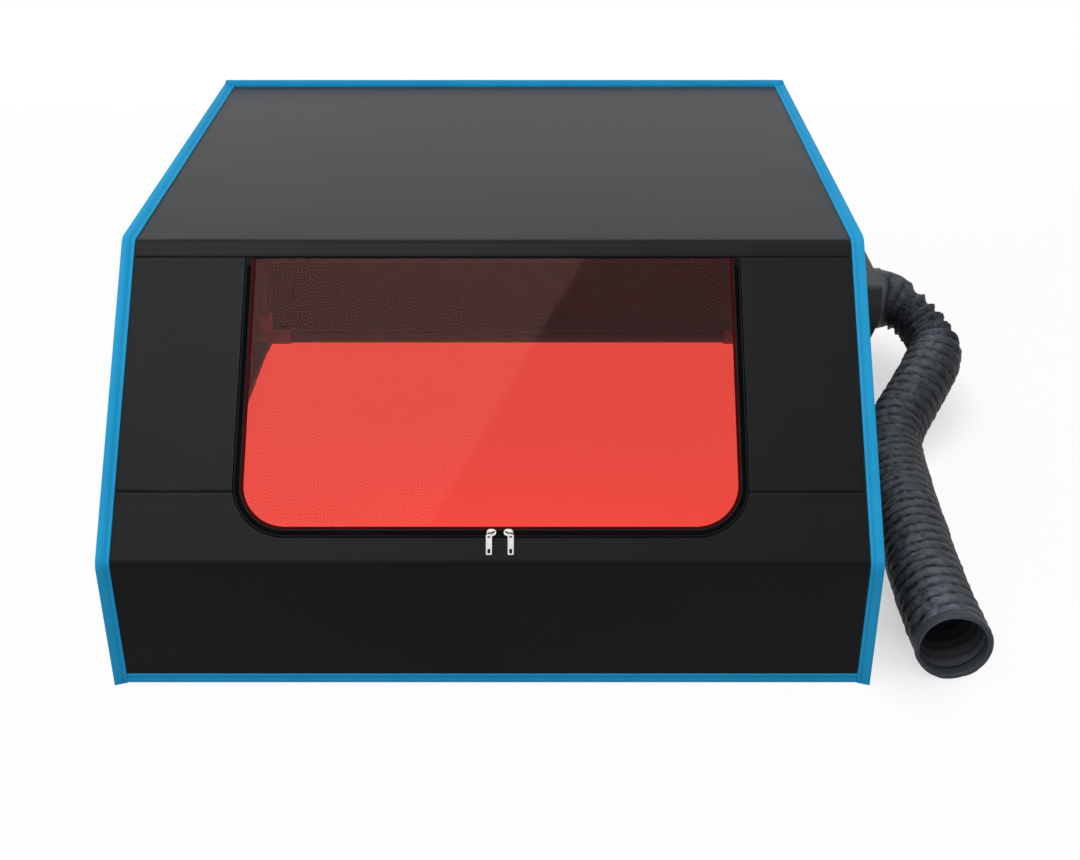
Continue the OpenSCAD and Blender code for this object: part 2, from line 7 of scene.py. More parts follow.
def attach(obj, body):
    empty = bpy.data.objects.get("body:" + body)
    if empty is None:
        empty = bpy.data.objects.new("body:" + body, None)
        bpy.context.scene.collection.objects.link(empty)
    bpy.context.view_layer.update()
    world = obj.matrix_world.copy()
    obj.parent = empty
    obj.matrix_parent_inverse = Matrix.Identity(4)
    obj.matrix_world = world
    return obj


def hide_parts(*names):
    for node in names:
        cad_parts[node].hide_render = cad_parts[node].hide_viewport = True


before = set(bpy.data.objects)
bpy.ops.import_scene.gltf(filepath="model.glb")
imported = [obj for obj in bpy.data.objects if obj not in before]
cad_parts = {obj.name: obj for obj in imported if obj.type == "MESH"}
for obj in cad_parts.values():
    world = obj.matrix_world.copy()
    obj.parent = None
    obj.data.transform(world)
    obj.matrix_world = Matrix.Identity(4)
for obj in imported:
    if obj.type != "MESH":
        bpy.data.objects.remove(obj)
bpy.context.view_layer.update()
print("frame loaded:", len(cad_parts), "nodes")

# the camera looks at the front from above
cameraSet = {"place": (0.0444, -1.1146, 0.8733), "tiltDeg": 61.46, "lens": 50.0, "sensor": 36.0}

bpy.ops.object.camera_add(location=cameraSet["place"], rotation=(math.radians(cameraSet["tiltDeg"]), 0, 0))
camera = bpy.context.object
camera.name = "studioCamera"
camera.data.lens = cameraSet["lens"]
camera.data.sensor_width = cameraSet["sensor"]
camera.data.clip_end = 60  # metres
bpy.context.scene.camera = camera


def deselectAll():
    bpy.ops.object.select_all(action="DESELECT")


def selectOnly(piece):
    if bpy.context.object and bpy.context.object.mode != "OBJECT":
        bpy.ops.object.mode_set(mode="OBJECT")
    deselectAll()
    piece.select_set(True)
    bpy.context.view_layer.objects.active = piece


# opens a piece in edit mode with all of it selected
def editAll(piece):
    selectOnly(piece)
    bpy.ops.object.mode_set(mode="EDIT")
    bpy.ops.mesh.select_all(action="SELECT")


def applyAll(piece):
    selectOnly(piece)
    for m in list(piece.modifiers):
        bpy.ops.object.modifier_apply(modifier=m.name)


def thicken(piece, thick):
    solid = piece.modifiers.new("thickness", "SOLIDIFY")
    solid.thickness = thick
    solid.offset = -1
    applyAll(piece)


def removePiece(piece):
    bpy.data.objects.remove(piece, do_unlink=True)


def cutAway(piece, cutter):
    cut = piece.modifiers.new("cut", "BOOLEAN")
    cut.operation = "DIFFERENCE"
    cut.solver = "EXACT"
    cut.object = cutter
    applyAll(piece)
    removePiece(cutter)


def smoothPiece(piece, angle=40):
    selectOnly(piece)
    bpy.ops.object.shade_smooth_by_angle(angle=math.radians(angle))


def outward(piece):
    editAll(piece)
    bpy.ops.mesh.normals_make_consistent(inside=False)
    bpy.ops.object.mode_set(mode="OBJECT")


def linkPiece(name, mesh):
    piece = bpy.data.objects.new(name, mesh)
    bpy.context.collection.objects.link(piece)
    return piece


def meshPiece(name, points, faces):
    mesh = bpy.data.meshes.new(name)
    mesh.from_pydata([tuple(p) for p in points], [], faces)
    mesh.validate()
    return linkPiece(name, mesh)


# quads of a sheet whose points run row by row
def gridFaces(rows, columns, flip=False):
    faces, n = [], columns + 1
    for a in (j * n + i for j in range(rows) for i in range(columns)):
        faces.append((a, a + n, a + n + 1, a + 1) if flip else (a, a + 1, a + n + 1, a + n))
    return faces


# quads of a tube of rings that closes on itself both ways
def ringFaces(rings, sides):
    faces = []
    for r in range(rings):
        n = (r + 1) % rings
        for k in range(sides):
            m = (k + 1) % sides
            faces.append((r * sides + k, r * sides + m, n * sides + m, n * sides + k))
    return faces


# the weave's map, in metres along the cloth
def layMap(piece, places):
    uv = piece.data.uv_layers.new(name="UVMap")
    for loop in piece.data.loops:
        uv.data[loop.index].uv = places(loop.vertex_index)


# sets copies of a small piece at places given by their centre, length direction and upward direction
def repeatPiece(name, unit, places):
    copies = []
    for centre, along, up in places:
        copy = linkPiece(unit.name, unit.data.copy())
        turn = Matrix((along.cross(up), up, -along)).transposed().to_4x4()
        copy.data.transform(Matrix.Translation(centre) @ turn)
        copies.append(copy)
    deselectAll()
    for copy in copies:
        copy.select_set(True)
    bpy.context.view_layer.objects.active = copies[0]
    bpy.ops.object.join()
    joined = bpy.context.object
    joined.name = name
    removePiece(unit)
    smoothPiece(joined, 60)
    return joined


def newMaterial(name):
    material = bpy.data.materials.new(name)
    material.use_nodes = True
    return material, material.node_tree, material.node_tree.nodes["Principled BSDF"]


# a socket takes a number or colour, or a link from another node's socket
def setSockets(node, sockets):
    for key, value in sockets.items():
        if isinstance(value, bpy.types.NodeSocket):
            node.id_data.links.new(value, node.inputs[key])
        else:
            node.inputs[key].default_value = value


def addNode(tree, kind, sockets=None, **settings):
    node = tree.nodes.new(kind)
    for key, value in settings.items():
        setattr(node, key, value)
    setSockets(node, sockets or {})
    return node


def objectPlace(tree):
    return addNode(tree, "ShaderNodeTexCoord").outputs["Object"]


def mathOf(tree, operation, *values):
    return addNode(tree, "ShaderNodeMath", dict(enumerate(values)), operation=operation).outputs[0]


def noiseOf(tree, where, scale, detail, rough=0.5):
    sockets = {"Vector": where, "Scale": scale, "Detail": detail, "Roughness": rough}
    return addNode(tree, "ShaderNodeTexNoise", sockets).outputs["Fac"]


def between(tree, value, low, high=1.0, start=0.0, end=1.0, kind="LINEAR"):
    sockets = {"Value": value, "From Min": start, "From Max": end, "To Min": low, "To Max": high}
    return addNode(tree, "ShaderNodeMapRange", sockets, interpolation_type=kind).outputs["Result"]


def rampColour(tree, source, low, high):
    ramp = addNode(tree, "ShaderNodeValToRGB", {"Fac": source})
    for stop, place, tone in zip(ramp.color_ramp.elements, (0.35, 0.65), (low, high)):
        stop.position = place
        stop.color = (*tone, 1)
    return ramp.outputs["Color"]


def bumpOf(tree, height, strength, distance=0.0002):
    sockets = {"Height": height, "Strength": strength, "Distance": distance}
    return addNode(tree, "ShaderNodeBump", sockets).outputs["Normal"]


# shows one shader where the amount is 0 and another where it is 1
def mixShaders(tree, amount, first, second):
    sockets = {"Fac": amount, 1: first.outputs[0], 2: second.outputs[0]}
    mix = addNode(tree, "ShaderNodeMixShader", sockets)
    setSockets(tree.nodes["Material Output"], {"Surface": mix.outputs["Shader"]})


# woven surface: crossed waves on the panel's own UV, in metres, or on object coordinates
def weaveMaterial(name, low, high, rough, threads, bump, specular=0.3, sheen=0.0, onUv=True):
    material, tree, shader = newMaterial(name)
    where = objectPlace(tree)
    source, directions, waves = where, ("DIAGONAL", "X"), []
    if onUv:
        source, directions = addNode(tree, "ShaderNodeUVMap").outputs["UV"], ("X", "Y")
    for direction in directions:
        sockets = {"Vector": source, "Scale": threads / 20}
        wave = addNode(tree, "ShaderNodeTexWave", sockets, wave_type="BANDS", bands_direction=direction)
        waves.append(wave.outputs["Fac"])
    setSockets(shader, {
        "Base Color": rampColour(tree, noiseOf(tree, where, 9.0, 3.0, 0.6), low, high),
        "Roughness": between(tree, noiseOf(tree, where, 420.0, 2.0), rough - 0.06, rough + 0.06),
        "Normal": bumpOf(tree, mathOf(tree, "MULTIPLY", *waves), bump),
        "Specular IOR Level": specular,
        "Sheen Weight": sheen,
        "Sheen Roughness": 0.3,
    })
    return material


# moulded plastic, coated metal and the like, on object coordinates
def grainMaterial(name, low, high, rough, grain, bump, metallic=0.0, specular=0.5, coat=0.0):
    material, tree, shader = newMaterial(name)
    where = objectPlace(tree)
    cloudy = noiseOf(tree, where, 24.0, 4.0)
    setSockets(shader, {
        "Base Color": rampColour(tree, cloudy, low, high),
        "Roughness": between(tree, cloudy, max(0.02, rough - 0.08), min(1, rough + 0.08)),
        "Normal": bumpOf(tree, noiseOf(tree, where, grain, 2.0), bump),
        "Metallic": metallic,
        "Specular IOR Level": specular,
        "Coat Weight": coat,
    })
    return material


filmSet = {
    "inset": 0.006, "thick": 0.0006, "depth": -0.0009, "wave": 0.00018, "calmEdge": 0.03,
    "columns": 72, "rows": 54,
    "tint": (0.97, 0.070, 0.048), "ior": 1.14, "haze": 0.018,
}


# red see-through film: a thin slab that lets lamps through with its own tint
def filmMaterial():
    material, tree, shader = newMaterial("redFilm")
    setSockets(shader, {
        "Base Color": (*filmSet["tint"], 1),
        "Transmission Weight": 1.0,
        "Roughness": 0.02,
        "IOR": filmSet["ior"],
        "Sheen Weight": filmSet["haze"],
        "Sheen Roughness": 0.9,
        "Normal": bumpOf(tree, noiseOf(tree, objectPlace(tree), 5.0, 1.0), 0.05, 0.001),
    })
    half = tuple(math.sqrt(c) for c in filmSet["tint"])  # the slab has two faces
    clear = addNode(tree, "ShaderNodeBsdfTransparent", {"Color": (*half, 1)})
    mixShaders(tree, addNode(tree, "ShaderNodeLightPath").outputs["Is Shadow Ray"], shader, clear)
    return material


hoseSet = {
    "route": [
        (0.453, 0.598, 0.128, 0.036), (0.463, 0.5978, 0.1279, 0.036), (0.473, 0.596, 0.1264, 0.0348),
        (0.483, 0.5926, 0.1235, 0.0336), (0.493, 0.587, 0.1192, 0.0328), (0.5032, 0.579, 0.1132, 0.032),
        (0.5128, 0.567, 0.1062, 0.032), (0.5194, 0.552, 0.0997, 0.032), (0.5223, 0.5355, 0.0934, 0.032),
        (0.5198, 0.518, 0.0871, 0.0325), (0.5112, 0.500, 0.0804, 0.033), (0.499, 0.480, 0.0724, 0.0333),
        (0.4855, 0.4585, 0.0639, 0.0333), (0.472, 0.438, 0.0562, 0.0333), (0.4598, 0.418, 0.0492, 0.0333),
        (0.4504, 0.397, 0.0433, 0.0335), (0.4448, 0.375, 0.0388, 0.034), (0.4414, 0.350, 0.036, 0.035),
        (0.4382, 0.311, 0.0353, 0.0353), (0.4354, 0.277, 0.0355, 0.0355), (0.4325, 0.235, 0.0358, 0.0358),
        (0.4298, 0.189, 0.036, 0.036), (0.4277, 0.139, 0.036, 0.036), (0.4264, 0.095, 0.036, 0.036),
        (0.4261, 0.055, 0.036, 0.036), (0.4265, 0.032, 0.036, 0.036), (0.427, 0.015, 0.036, 0.036),
    ],
    "pitch": 0.0155, "phase": 0.731, "wall": 0.002, "sides": 96, "ringStep": 0.0014,
    "ribsFrom": (0.006, 0.026), "ribsOver": 0.010,
    "crease": 0.0016, "innerCrease": 0.0008, "crinkle": 0.0008, "swell": 0.0010, "sink": 0.0004,
    "foldFrom": 0.030, "foldTo": 0.115, "foldSoft": 0.012, "extraFolds": 0.19, "spike": 0.0056,
    "outerTuck": 0.0088, "innerTuck": 0.0050, "kinkAt": 0.119, "kink": 0.0048, "kinkWide": 0.0042,
    # ripples: size, fineness round the hose, shift, fineness along it
    "wobble": ((0.11, 1.6, 0, 55), (0.06, 6, 4, 90)), "wrinkle": ((1.0, 6, 0, 190), (0.7, 12, 3, 300)),
    # colour ramp of painted light: painted shade in the outer creases, painted highlight on the crowns, then the
    # inner foil with painted shade in its creases
    "paintedCreaseShade": (0.004, 0.005, 0.0065), "paintedCrownHighlight": (0.112, 0.126, 0.149),
    "foilCreaseShade": (0.060, 0.065, 0.072), "foilTone": (0.105, 0.113, 0.126),
    # the direction whose side of the hose gets the painted highlight band
    "highlightSide": (-0.38, -0.15, 0.91),
}


# crinkled laminate of the hose: its colour carries painted shade in the creases, outside and on the inner foil,
# and a painted highlight band along the top side, both by its own crease attribute
def hoseMaterial():
    material, tree, shader = newMaterial("crinkledLaminate")
    crease = addNode(tree, "ShaderNodeAttribute", attribute_name="crease").outputs["Fac"]
    ramp = addNode(tree, "ShaderNodeValToRGB", {"Fac": crease})
    stops = ramp.color_ramp.elements
    for place in (0.72, 0.8):
        stops.new(place)
    for stop, tone in zip(stops, ("paintedCreaseShade", "paintedCrownHighlight", "foilCreaseShade", "foilTone")):
        stop.color = (*hoseSet[tone], 1)
    fine = noiseOf(tree, objectPlace(tree), 150.0, 4.0, 0.65)
    setSockets(shader, {
        "Base Color": ramp.outputs["Color"],
        "Roughness": between(tree, fine, 0.4, 0.58),
        "Normal": bumpOf(tree, fine, 0.35, 0.0007),
        "Specular IOR Level": 0.1,
    })
    return material


# each finish: darker and lighter tone, roughness, fineness of the grain, strength of the relief
weaves = {
    "cloth": ("coatedCloth", (0.0006, 0.0010, 0.0015), (0.0013, 0.0018, 0.0024), 0.42, 1500, 0.12, 0.095, 0.62),
    "blue": ("blueTape", (0.007, 0.235, 0.46), (0.010, 0.26, 0.50), 0.6, 3000, 0.2, 0.1, 0.0, False),
    "zipTape": ("zipTape", (0.002, 0.0022, 0.0024), (0.0034, 0.0036, 0.004), 0.6, 4000, 0.3, 0.05, 0.0, False),
    "piping": ("zipEdge", (0.008, 0.009, 0.010), (0.013, 0.014, 0.015), 0.65, 4000, 0.3, 0.05, 0.0, False),
}
grains = {
    "coil": ("zipCoil", (0.0025, 0.0027, 0.003), (0.004, 0.0044, 0.005), 0.8, 900, 0.1, 0.0, 0.0),
    # the film's turned edge, its dark red tone painted shade along the edge
    "shadedFilmEdge": ("shadedFilmEdge", (0.040, 0.0012, 0.0015), (0.055, 0.0018, 0.002), 0.6, 600, 0.1, 0.0, 0.02),
    "pull": ("enamelledZinc", (0.60, 0.58, 0.55), (0.68, 0.66, 0.62), 0.32, 500, 0.04, 0.0, 0.5, 0.3),
    "tube": ("powderCoat", (0.010, 0.010, 0.011), (0.016, 0.016, 0.017), 0.45, 700, 0.15),
    "connector": ("whiteNylon", (0.72, 0.71, 0.68), (0.80, 0.79, 0.76), 0.4, 300, 0.05),
    "fanPlastic": ("blackPlastic", (0.010, 0.010, 0.011), (0.015, 0.015, 0.016), 0.5, 900, 0.15, 0.0, 0.35),
    "guard": ("guardPlastic", (0.012, 0.012, 0.013), (0.018, 0.018, 0.019), 0.4, 700, 0.1),
    "steel": ("zincPlate", (0.55, 0.55, 0.57), (0.66, 0.66, 0.68), 0.3, 800, 0.05, 1.0),
    "hoseRing": ("ringPlastic", (0.018, 0.021, 0.024), (0.026, 0.03, 0.033), 0.5, 400, 0.2),
    "blueThread": ("blueThread", (0.009, 0.235, 0.41), (0.012, 0.26, 0.45), 0.8, 900, 0.3),
}
materials = {"film": filmMaterial(), "hose": hoseMaterial()}
for key, values in weaves.items():
    materials[key] = weaveMaterial(*values)
for key, values in grains.items():
    materials[key] = grainMaterial(*values)


def paint(piece, *keys):
    piece.data.materials.clear()
    for key in keys:
        piece.data.materials.append(materials[key])


# gives a piece its finish and the body it rides, and hides the CAD node it stands for
def dress(piece, key, body, node):
    paint(piece, key)
    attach(piece, body)
    if node:
        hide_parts(node)
    return piece


print("materials made")


# a smooth curve through the route's stops
def smoothRoute(route, parts):
    before = tuple(2 * a - b for a, b in zip(route[0], route[1]))
    after = tuple(2 * a - b for a, b in zip(route[-1], route[-2]))
    full, out = [before, *route, after], []
    for i in range(1, len(full) - 2):
        a, b, c, d = (Vector(p) for p in full[i - 1 : i + 3])
        for k in range(parts):
            t = k / parts
            bend = (2 * a - 5 * b + 4 * c - d) * t * t + (3 * b - a - 3 * c + d) * t ** 3
            out.append(0.5 * (2 * b + (c - a) * t + bend))
    out.append(Vector(route[-1]))
    return out


# even steps along a run: the distance, the stop before it and the share of the way to the next
def evenPlaces(lengths, count):
    j = 0
    for i in range(count + 1):
        s = lengths[-1] * i / count
        while j < len(lengths) - 2 and lengths[j + 1] < s:
            j += 1
        yield s, j, (s - lengths[j]) / max(1e-9, lengths[j + 1] - lengths[j])


def evenRoute(points, step):
    lengths = [0.0]
    for a, b in zip(points, points[1:]):
        lengths.append(lengths[-1] + (b.to_3d() - a.to_3d()).length)
    even = evenPlaces(lengths, round(lengths[-1] / step))
    return [(s, points[j].lerp(points[j + 1], min(1, t))) for s, j, t in even], lengths[-1]


def ripple(around, fineness, x, y, z):
    return noise.noise(around * fineness + Vector((x, y, z)))


def ripples(around, s, layers):
    return sum(size * ripple(around, fineness, x, 0, s * along) for size, fineness, x, along in layers)


def share(s, low, high):
    return min(1.0, max(0.0, (s - low) / (high - low)))


def bell(s, low, high, soft):
    return max(0.0, min(1.0, (s - low) / soft, (high - s) / soft))


restHeight = 0.0004  # the hose keeps this far off the floor


# a piece of the laminate with its crease attribute, which carries painted shade and painted highlights
def laminate(name, points, faces, crease, node):
    piece = meshPiece(name, points, faces)
    layer = piece.data.attributes.new("crease", "FLOAT", "POINT")
    layer.data.foreach_set("value", crease)
    outward(piece)
    smoothPiece(piece, 70)
    return dress(piece, "hose", "enclosure", node)


def makeHose():
    even, length = evenRoute(smoothRoute(hoseSet["route"], 16), hoseSet["ringStep"])
    sides = hoseSet["sides"]
    points, crease = [], []
    highlightSide = Vector(hoseSet["highlightSide"]).normalized()

    def ringAt(i, inner):
        s, p = even[i]
        before, after = even[max(0, i - 3)][1].to_3d(), even[min(len(even) - 1, i + 3)][1].to_3d()
        along = (after - before).normalized()
        side = along.cross(Vector((0, 0, 1))).normalized()
        rise = side.cross(along).normalized()
        fold = bell(s, hoseSet["foldFrom"], hoseSet["foldTo"], hoseSet["foldSoft"])
        folded = share(s, hoseSet["foldFrom"], hoseSet["foldTo"])
        start = sum(0.5 * share(s, low, low + hoseSet["ribsOver"]) for low in hoseSet["ribsFrom"])
        kink = hoseSet["kink"] * math.exp(-(((s - hoseSet["kinkAt"]) / hoseSet["kinkWide"]) ** 2))
        for k in range(sides):
            turn = 2 * math.pi * k / sides
            outer = 0.5 - 0.5 * math.cos(turn)
            # painted highlight: the side of the hose facing up and a little left is painted lighter, where the
            # lamps' highlight falls
            paintedHighlightBand = max(0.0, (math.cos(turn) * side + math.sin(turn) * rise).dot(highlightSide)) ** 4
            around = Vector((math.cos(turn), math.sin(turn), 0))
            wobble = ripples(around, s, hoseSet["wobble"])
            turns = s / hoseSet["pitch"] + hoseSet["phase"] + hoseSet["extraFolds"] * folded
            part = (turns + k / sides + wobble) % 1.0
            pillow = abs(math.sin(math.pi * part)) ** 0.55
            tent = (1 - abs(2 * part - 1)) ** 1.9
            wrinkle = ripples(around, s, hoseSet["wrinkle"])
            swell = ripple(around, 1.4, 0, 0, s * 22 + 9)
            tuck = hoseSet["innerTuck"] + (hoseSet["outerTuck"] - hoseSet["innerTuck"]) * outer
            relief = hoseSet["crease"] * (pillow - 0.75) * (1 - fold)
            relief += (hoseSet["spike"] * tent - tuck) * fold
            relief += hoseSet["crinkle"] * wrinkle + hoseSet["swell"] * swell - kink * (1.3 - 0.5 * outer)
            relief = start * relief - hoseSet["sink"]
            if inner:
                relief = -hoseSet["wall"] - hoseSet["innerCrease"] * pillow
                relief -= start * (0.8 * kink + tuck * fold)
            spot = p.to_3d() + (p[3] + relief) * (math.cos(turn) * side + math.sin(turn) * rise)
            if not inner:
                spot.z = max(spot.z, restHeight)
            points.append(spot)
            # the crease value is painted light: dark in the valleys as painted shade, lighter on wrinkles and
            # patches as painted highlights, and dark away from the painted highlight band on the top side
            depth = pillow if fold < 0.5 else tent ** 0.5
            highlightPatch = ripple(around, 3, 7, 0, s * 120)
            depth = (0.06 + 0.56 * depth + 0.38 * wrinkle + 0.25 * highlightPatch) * (0.17 + 0.83 * paintedHighlightBand)
            crease.append(0.8 + 0.2 * pillow ** 2 if inner else max(0.0, min(0.72, depth)))

    count = len(even)
    for i in range(count):
        ringAt(i, False)
    innerRings = list(range(count - 1, -1, -2))
    if innerRings[-1] != 0:
        innerRings.append(0)
    for i in innerRings:
        ringAt(i, True)
    faces = ringFaces(count + len(innerRings), sides)
    piece = laminate("ribbedHose", points, faces, crease, "hose")
    return piece, [tuple(p.to_3d()) for s, p in even[::6]] + [tuple(even[-1][1].to_3d())], length


ringSet = {"x": 0.427, "z": 0.036, "front": 0.003, "sides": 120, "shiftX": -0.0012, "shiftZ": 0.0010}


# the last fold of the laminate, turned round the hose's end: radius and distance from its front
def makeEndRing():
    profile = [
        (0.0352, 0.0125), (0.0359, 0.0105), (0.0363, 0.0080), (0.0363, 0.0055), (0.0361, 0.0035), (0.0357, 0.0019),
        (0.0350, 0.0008), (0.0341, 0.0002), (0.0331, 0.0), (0.0322, 0.0003), (0.0315, 0.0012), (0.0311, 0.0030),
        (0.0310, 0.0060), (0.0312, 0.0095), (0.0317, 0.0125), (0.0325, 0.0145), (0.0335, 0.0145),
    ]
    sides = ringSet["sides"]
    points, shade = [], []
    for k in range(sides):
        turn = 2 * math.pi * k / sides
        around = Vector((math.cos(turn), math.sin(turn), 0))
        for radius, back in profile:
            soft = max(0.0, 1 - back / 0.0125)
            inward = min(1.0, max(0.0, (0.0350 - radius) / 0.003))
            radius += 0.0008 * soft * noise.noise(around * 2.2)
            radius += 0.0004 * ripple(around, 7, 0, 0, back * 200)
            radius -= 0.0009 * inward * ripple(around, 1.7, 2, 5, 0)
            x = ringSet["x"] + radius * around.x + inward * ringSet["shiftX"]
            z = ringSet["z"] + radius * around.y + inward * ringSet["shiftZ"]
            y = ringSet["front"] + back + 0.0008 * soft * ripple(around, 2, 5, 0, 0)
            points.append(Vector((x, y, max(restHeight, z))))
            # the lip's crease value; the faces at its back are painted darker, painted shade in the recess where
            # the ring meets the hose
            shade.append(0.25 if back < 0.0122 else 0.12)
    faces = ringFaces(sides, len(profile))
    return laminate("hoseRim", points, faces, shade, "hose_end_ring")


hose, hosePath, hoseLength = makeHose()
hoseRim = makeEndRing()
print("hose made, length", round(hoseLength, 4))

bodySet = {
    "width": 0.678, "depth": 0.750, "height": 0.352, "knee": 0.131, "run": 0.219,
    "cloth": 0.0012, "hem": 0.0006, "rear": 0.003, "inset": 0.0115, "rearSeam": 0.7457,
}

halfWidth, bodyDeep, bodyHigh = bodySet["width"] / 2, bodySet["depth"], bodySet["height"]
cloth, hemLift, bend, rearBend = (bodySet[key] for key in ("cloth", "hem", "inset", "rear"))
kneeHigh, slopeRun = bodySet["knee"], bodySet["run"]
slopeTurn = math.atan2(bodyHigh - kneeHigh, slopeRun)
slopeLength = math.hypot(bodyHigh - kneeHigh, slopeRun)
alongSlope = Vector((0, math.cos(slopeTurn), math.sin(slopeTurn)))
outOfSlope = Vector((0, -math.sin(slopeTurn), math.cos(slopeTurn)))
kneeTangent = bend * math.tan((math.pi / 2 - slopeTurn) / 2)
roofTangent = bend * math.tan(slopeTurn / 2)
kneeCentre = Vector((0, bend, kneeHigh - kneeTangent))
roofCentre = Vector((0, slopeRun + roofTangent, bodyHigh - bend))
rearCentre = Vector((0, bodyDeep - rearBend, bodyHigh - rearBend))
lowSeam, highSeam = 0.0663, slopeLength - 0.0165
windowHalf, windowLow, windowRound = 0.234, 0.024, 0.050
stileLap = 0.004  # how far the stiles are drawn past the window's edge before it is cut
innerHalf = halfWidth - cloth


def onSlope(u, v, n):
    return Vector((u, 0, kneeHigh)) + v * alongSlope + n * outOfSlope


# side view outline from the floor at the front, over the roof, to the floor at the back:
# each stop is a place, the direction out of the cloth, and the distance along the cloth
def shellStops(step=0.012, arcParts=8):
    stops = []

    def line(start, end, out):
        parts = max(1, round((end - start).length / step))
        for i in range(parts + 1):
            stops.append((start.lerp(end, i / parts), out))

    def arc(centre, radius, fromTurn, toTurn):
        for i in range(1, arcParts):
            turn = fromTurn + (toTurn - fromTurn) * i / arcParts
            out = Vector((0, math.cos(turn), math.sin(turn)))
            stops.append((centre + radius * out, out))

    line(Vector((0, 0, hemLift)), Vector((0, 0, kneeCentre.z)), Vector((0, -1, 0)))
    arc(kneeCentre, bend, math.pi, math.pi / 2 + slopeTurn)
    line(kneeCentre + bend * outOfSlope, roofCentre + bend * outOfSlope, outOfSlope)
    arc(roofCentre, bend, math.pi / 2 + slopeTurn, math.pi / 2)
    line(Vector((0, roofCentre.y, bodyHigh)), Vector((0, rearCentre.y, bodyHigh)), Vector((0, 0, 1)))
    arc(rearCentre, rearBend, math.pi / 2, 0)
    line(Vector((0, bodyDeep, rearCentre.z)), Vector((0, bodyDeep, hemLift)), Vector((0, 1, 0)))
    out, total, last = [], 0.0, stops[0][0]
    for place, normal in stops:
        total += (place - last).length
        last = place
        out.append((place, normal, total))
    return out


stops = shellStops()
kneeAt = kneeCentre.z - hemLift
slopeFrom = kneeAt + bend * (math.pi / 2 - slopeTurn)
lowSeamAt = slopeFrom + lowSeam - kneeTangent
highSeamAt = slopeFrom + highSeam - kneeTangent
roofFrom = slopeFrom + slopeLength - kneeTangent - roofTangent + bend * slopeTurn
rearSeamAt = roofFrom + bodySet["rearSeam"] - roofCentre.y
backAt = stops[-1][2]


def stopAt(s):
    for a, b in zip(stops, stops[1:]):
        if b[2] >= s - 1e-9:
            t = (s - a[2]) / max(1e-9, b[2] - a[2])
            return a[0].lerp(b[0], t), a[1].lerp(b[1], t).normalized()
    return stops[-1][0], stops[-1][1]


# how far the cloth dips at its sewn edges, swells beside them, sags between tubes and puckers
def clothRelief(u, s, x0, x1, s0, s1, look):
    beside, ends = min(u - x0, x1 - u), min(s - s0, s1 - s)
    edge = min(beside, ends)
    seam = -look["seam"] * math.exp(-((ends / look["seamWide"]) ** 2))
    seam -= look["side"] * math.exp(-((beside / look["sideWide"]) ** 2))
    fold = look["fold"] * math.exp(-(((ends - look["foldAt"]) / look["foldWide"]) ** 2))
    fold *= min(1.0, beside / 0.004)
    middle = max(0.0, math.sin(math.pi * (u - x0) / (x1 - x0)))
    middle *= max(0.0, math.sin(math.pi * (s - s0) / (s1 - s0)))
    pucker = look["pucker"] * noise.noise(Vector((u * 16, s * 16, look["seed"]))) * math.exp(-edge / 0.05)
    swell = look["swell"] * noise.noise(Vector((u * 5, s * 5, look["seed"] + 7)))
    return seam + fold - look["sag"] * middle + (pucker + swell) * min(1.0, edge / 0.01)


# rows of points beside a seam, and the strip that they take up
seamSteps = (0.0004, 0.0008, 0.0013, 0.0020, 0.0030, 0.0042, 0.005, 0.0064)
seamStrip = 0.007


def spread(low, high, step):
    parts = max(2, round((high - low) / step))
    values = [low + (high - low) * i / parts for i in range(parts + 1)]
    return sorted(set(values + [low + d for d in seamSteps] + [high - d for d in seamSteps]))


def clothPanel(name, x0, x1, s0, s1, look, node):
    us = spread(x0, x1, look["step"])
    inside = [s for place, out, s in stops if s0 + seamStrip < s < s1 - seamStrip]
    ss = sorted(set(spread(s0, s1, look["step"]) + inside))
    points = []
    for s in ss:
        place, out = stopAt(s)
        for u in us:
            points.append(Vector((u, place.y, place.z)) + clothRelief(u, s, x0, x1, s0, s1, look) * out)
    n = len(us)
    piece = meshPiece(name, points, gridFaces(len(ss) - 1, n - 1))
    layMap(piece, lambda k: (us[k % n], ss[k // n]))
    thicken(piece, cloth)
    return dress(piece, "cloth", "enclosure", node)


# outline of the zip on the slope, from its left top, round the bottom, to its right top;
# stops give a place and the direction towards the outside of the window
def zipStops(inset, top, parts=18, sideParts=24, lowParts=32):
    radius = windowRound - inset
    w = windowHalf - inset
    bottom = windowLow + inset
    out = []

    def corner(u, start):
        for i in range(1, parts):
            turn = start + math.pi / 2 * i / parts
            away = (math.cos(turn), math.sin(turn))
            out.append(((u + radius * away[0], bottom + radius + radius * away[1]), away))

    for i in range(sideParts + 1):
        out.append(((-w, top + (bottom + radius - top) * i / sideParts), (-1.0, 0.0)))
    corner(-w + radius, math.pi)
    for i in range(lowParts + 1):
        out.append(((-w + radius + (2 * w - 2 * radius) * i / lowParts, bottom), (0.0, -1.0)))
    corner(w - radius, 1.5 * math.pi)
    for i in range(sideParts + 1):
        out.append(((w, bottom + radius + (top - bottom - radius) * i / sideParts), (1.0, 0.0)))
    return out


cutDepth = 0.02  # how far a cutter reaches through the cloth


def cutWindow(piece):
    outline = [p for p, d in zipStops(0.0, highSeam + 0.004)]
    n = len(outline)
    points = [onSlope(u, v, n) for n in (cutDepth, -cutDepth) for u, v in outline]
    faces = [tuple(range(n)), tuple(range(2 * n - 1, n - 1, -1))]
    for i in range(n):
        j = (i + 1) % n
        faces.append((i, n + i, n + j, j))
    cutter = meshPiece("cutter", points, faces)
    outward(cutter)
    cutAway(piece, cutter)


clothLook = {
    "step": 0.012, "seam": 0.00075, "seamWide": 0.0007, "side": 0.0002, "sideWide": 0.0016,
    "fold": 0.0001, "foldAt": 0.0042, "foldWide": 0.0016, "pucker": 0.0004, "sag": 0.0004, "swell": 0.0003,
    "seed": 1.0,
}


def wideCloth(name, s0, s1, node, **look):
    return clothPanel(name, -innerHalf, innerHalf, s0, s1, dict(clothLook, **look), node)


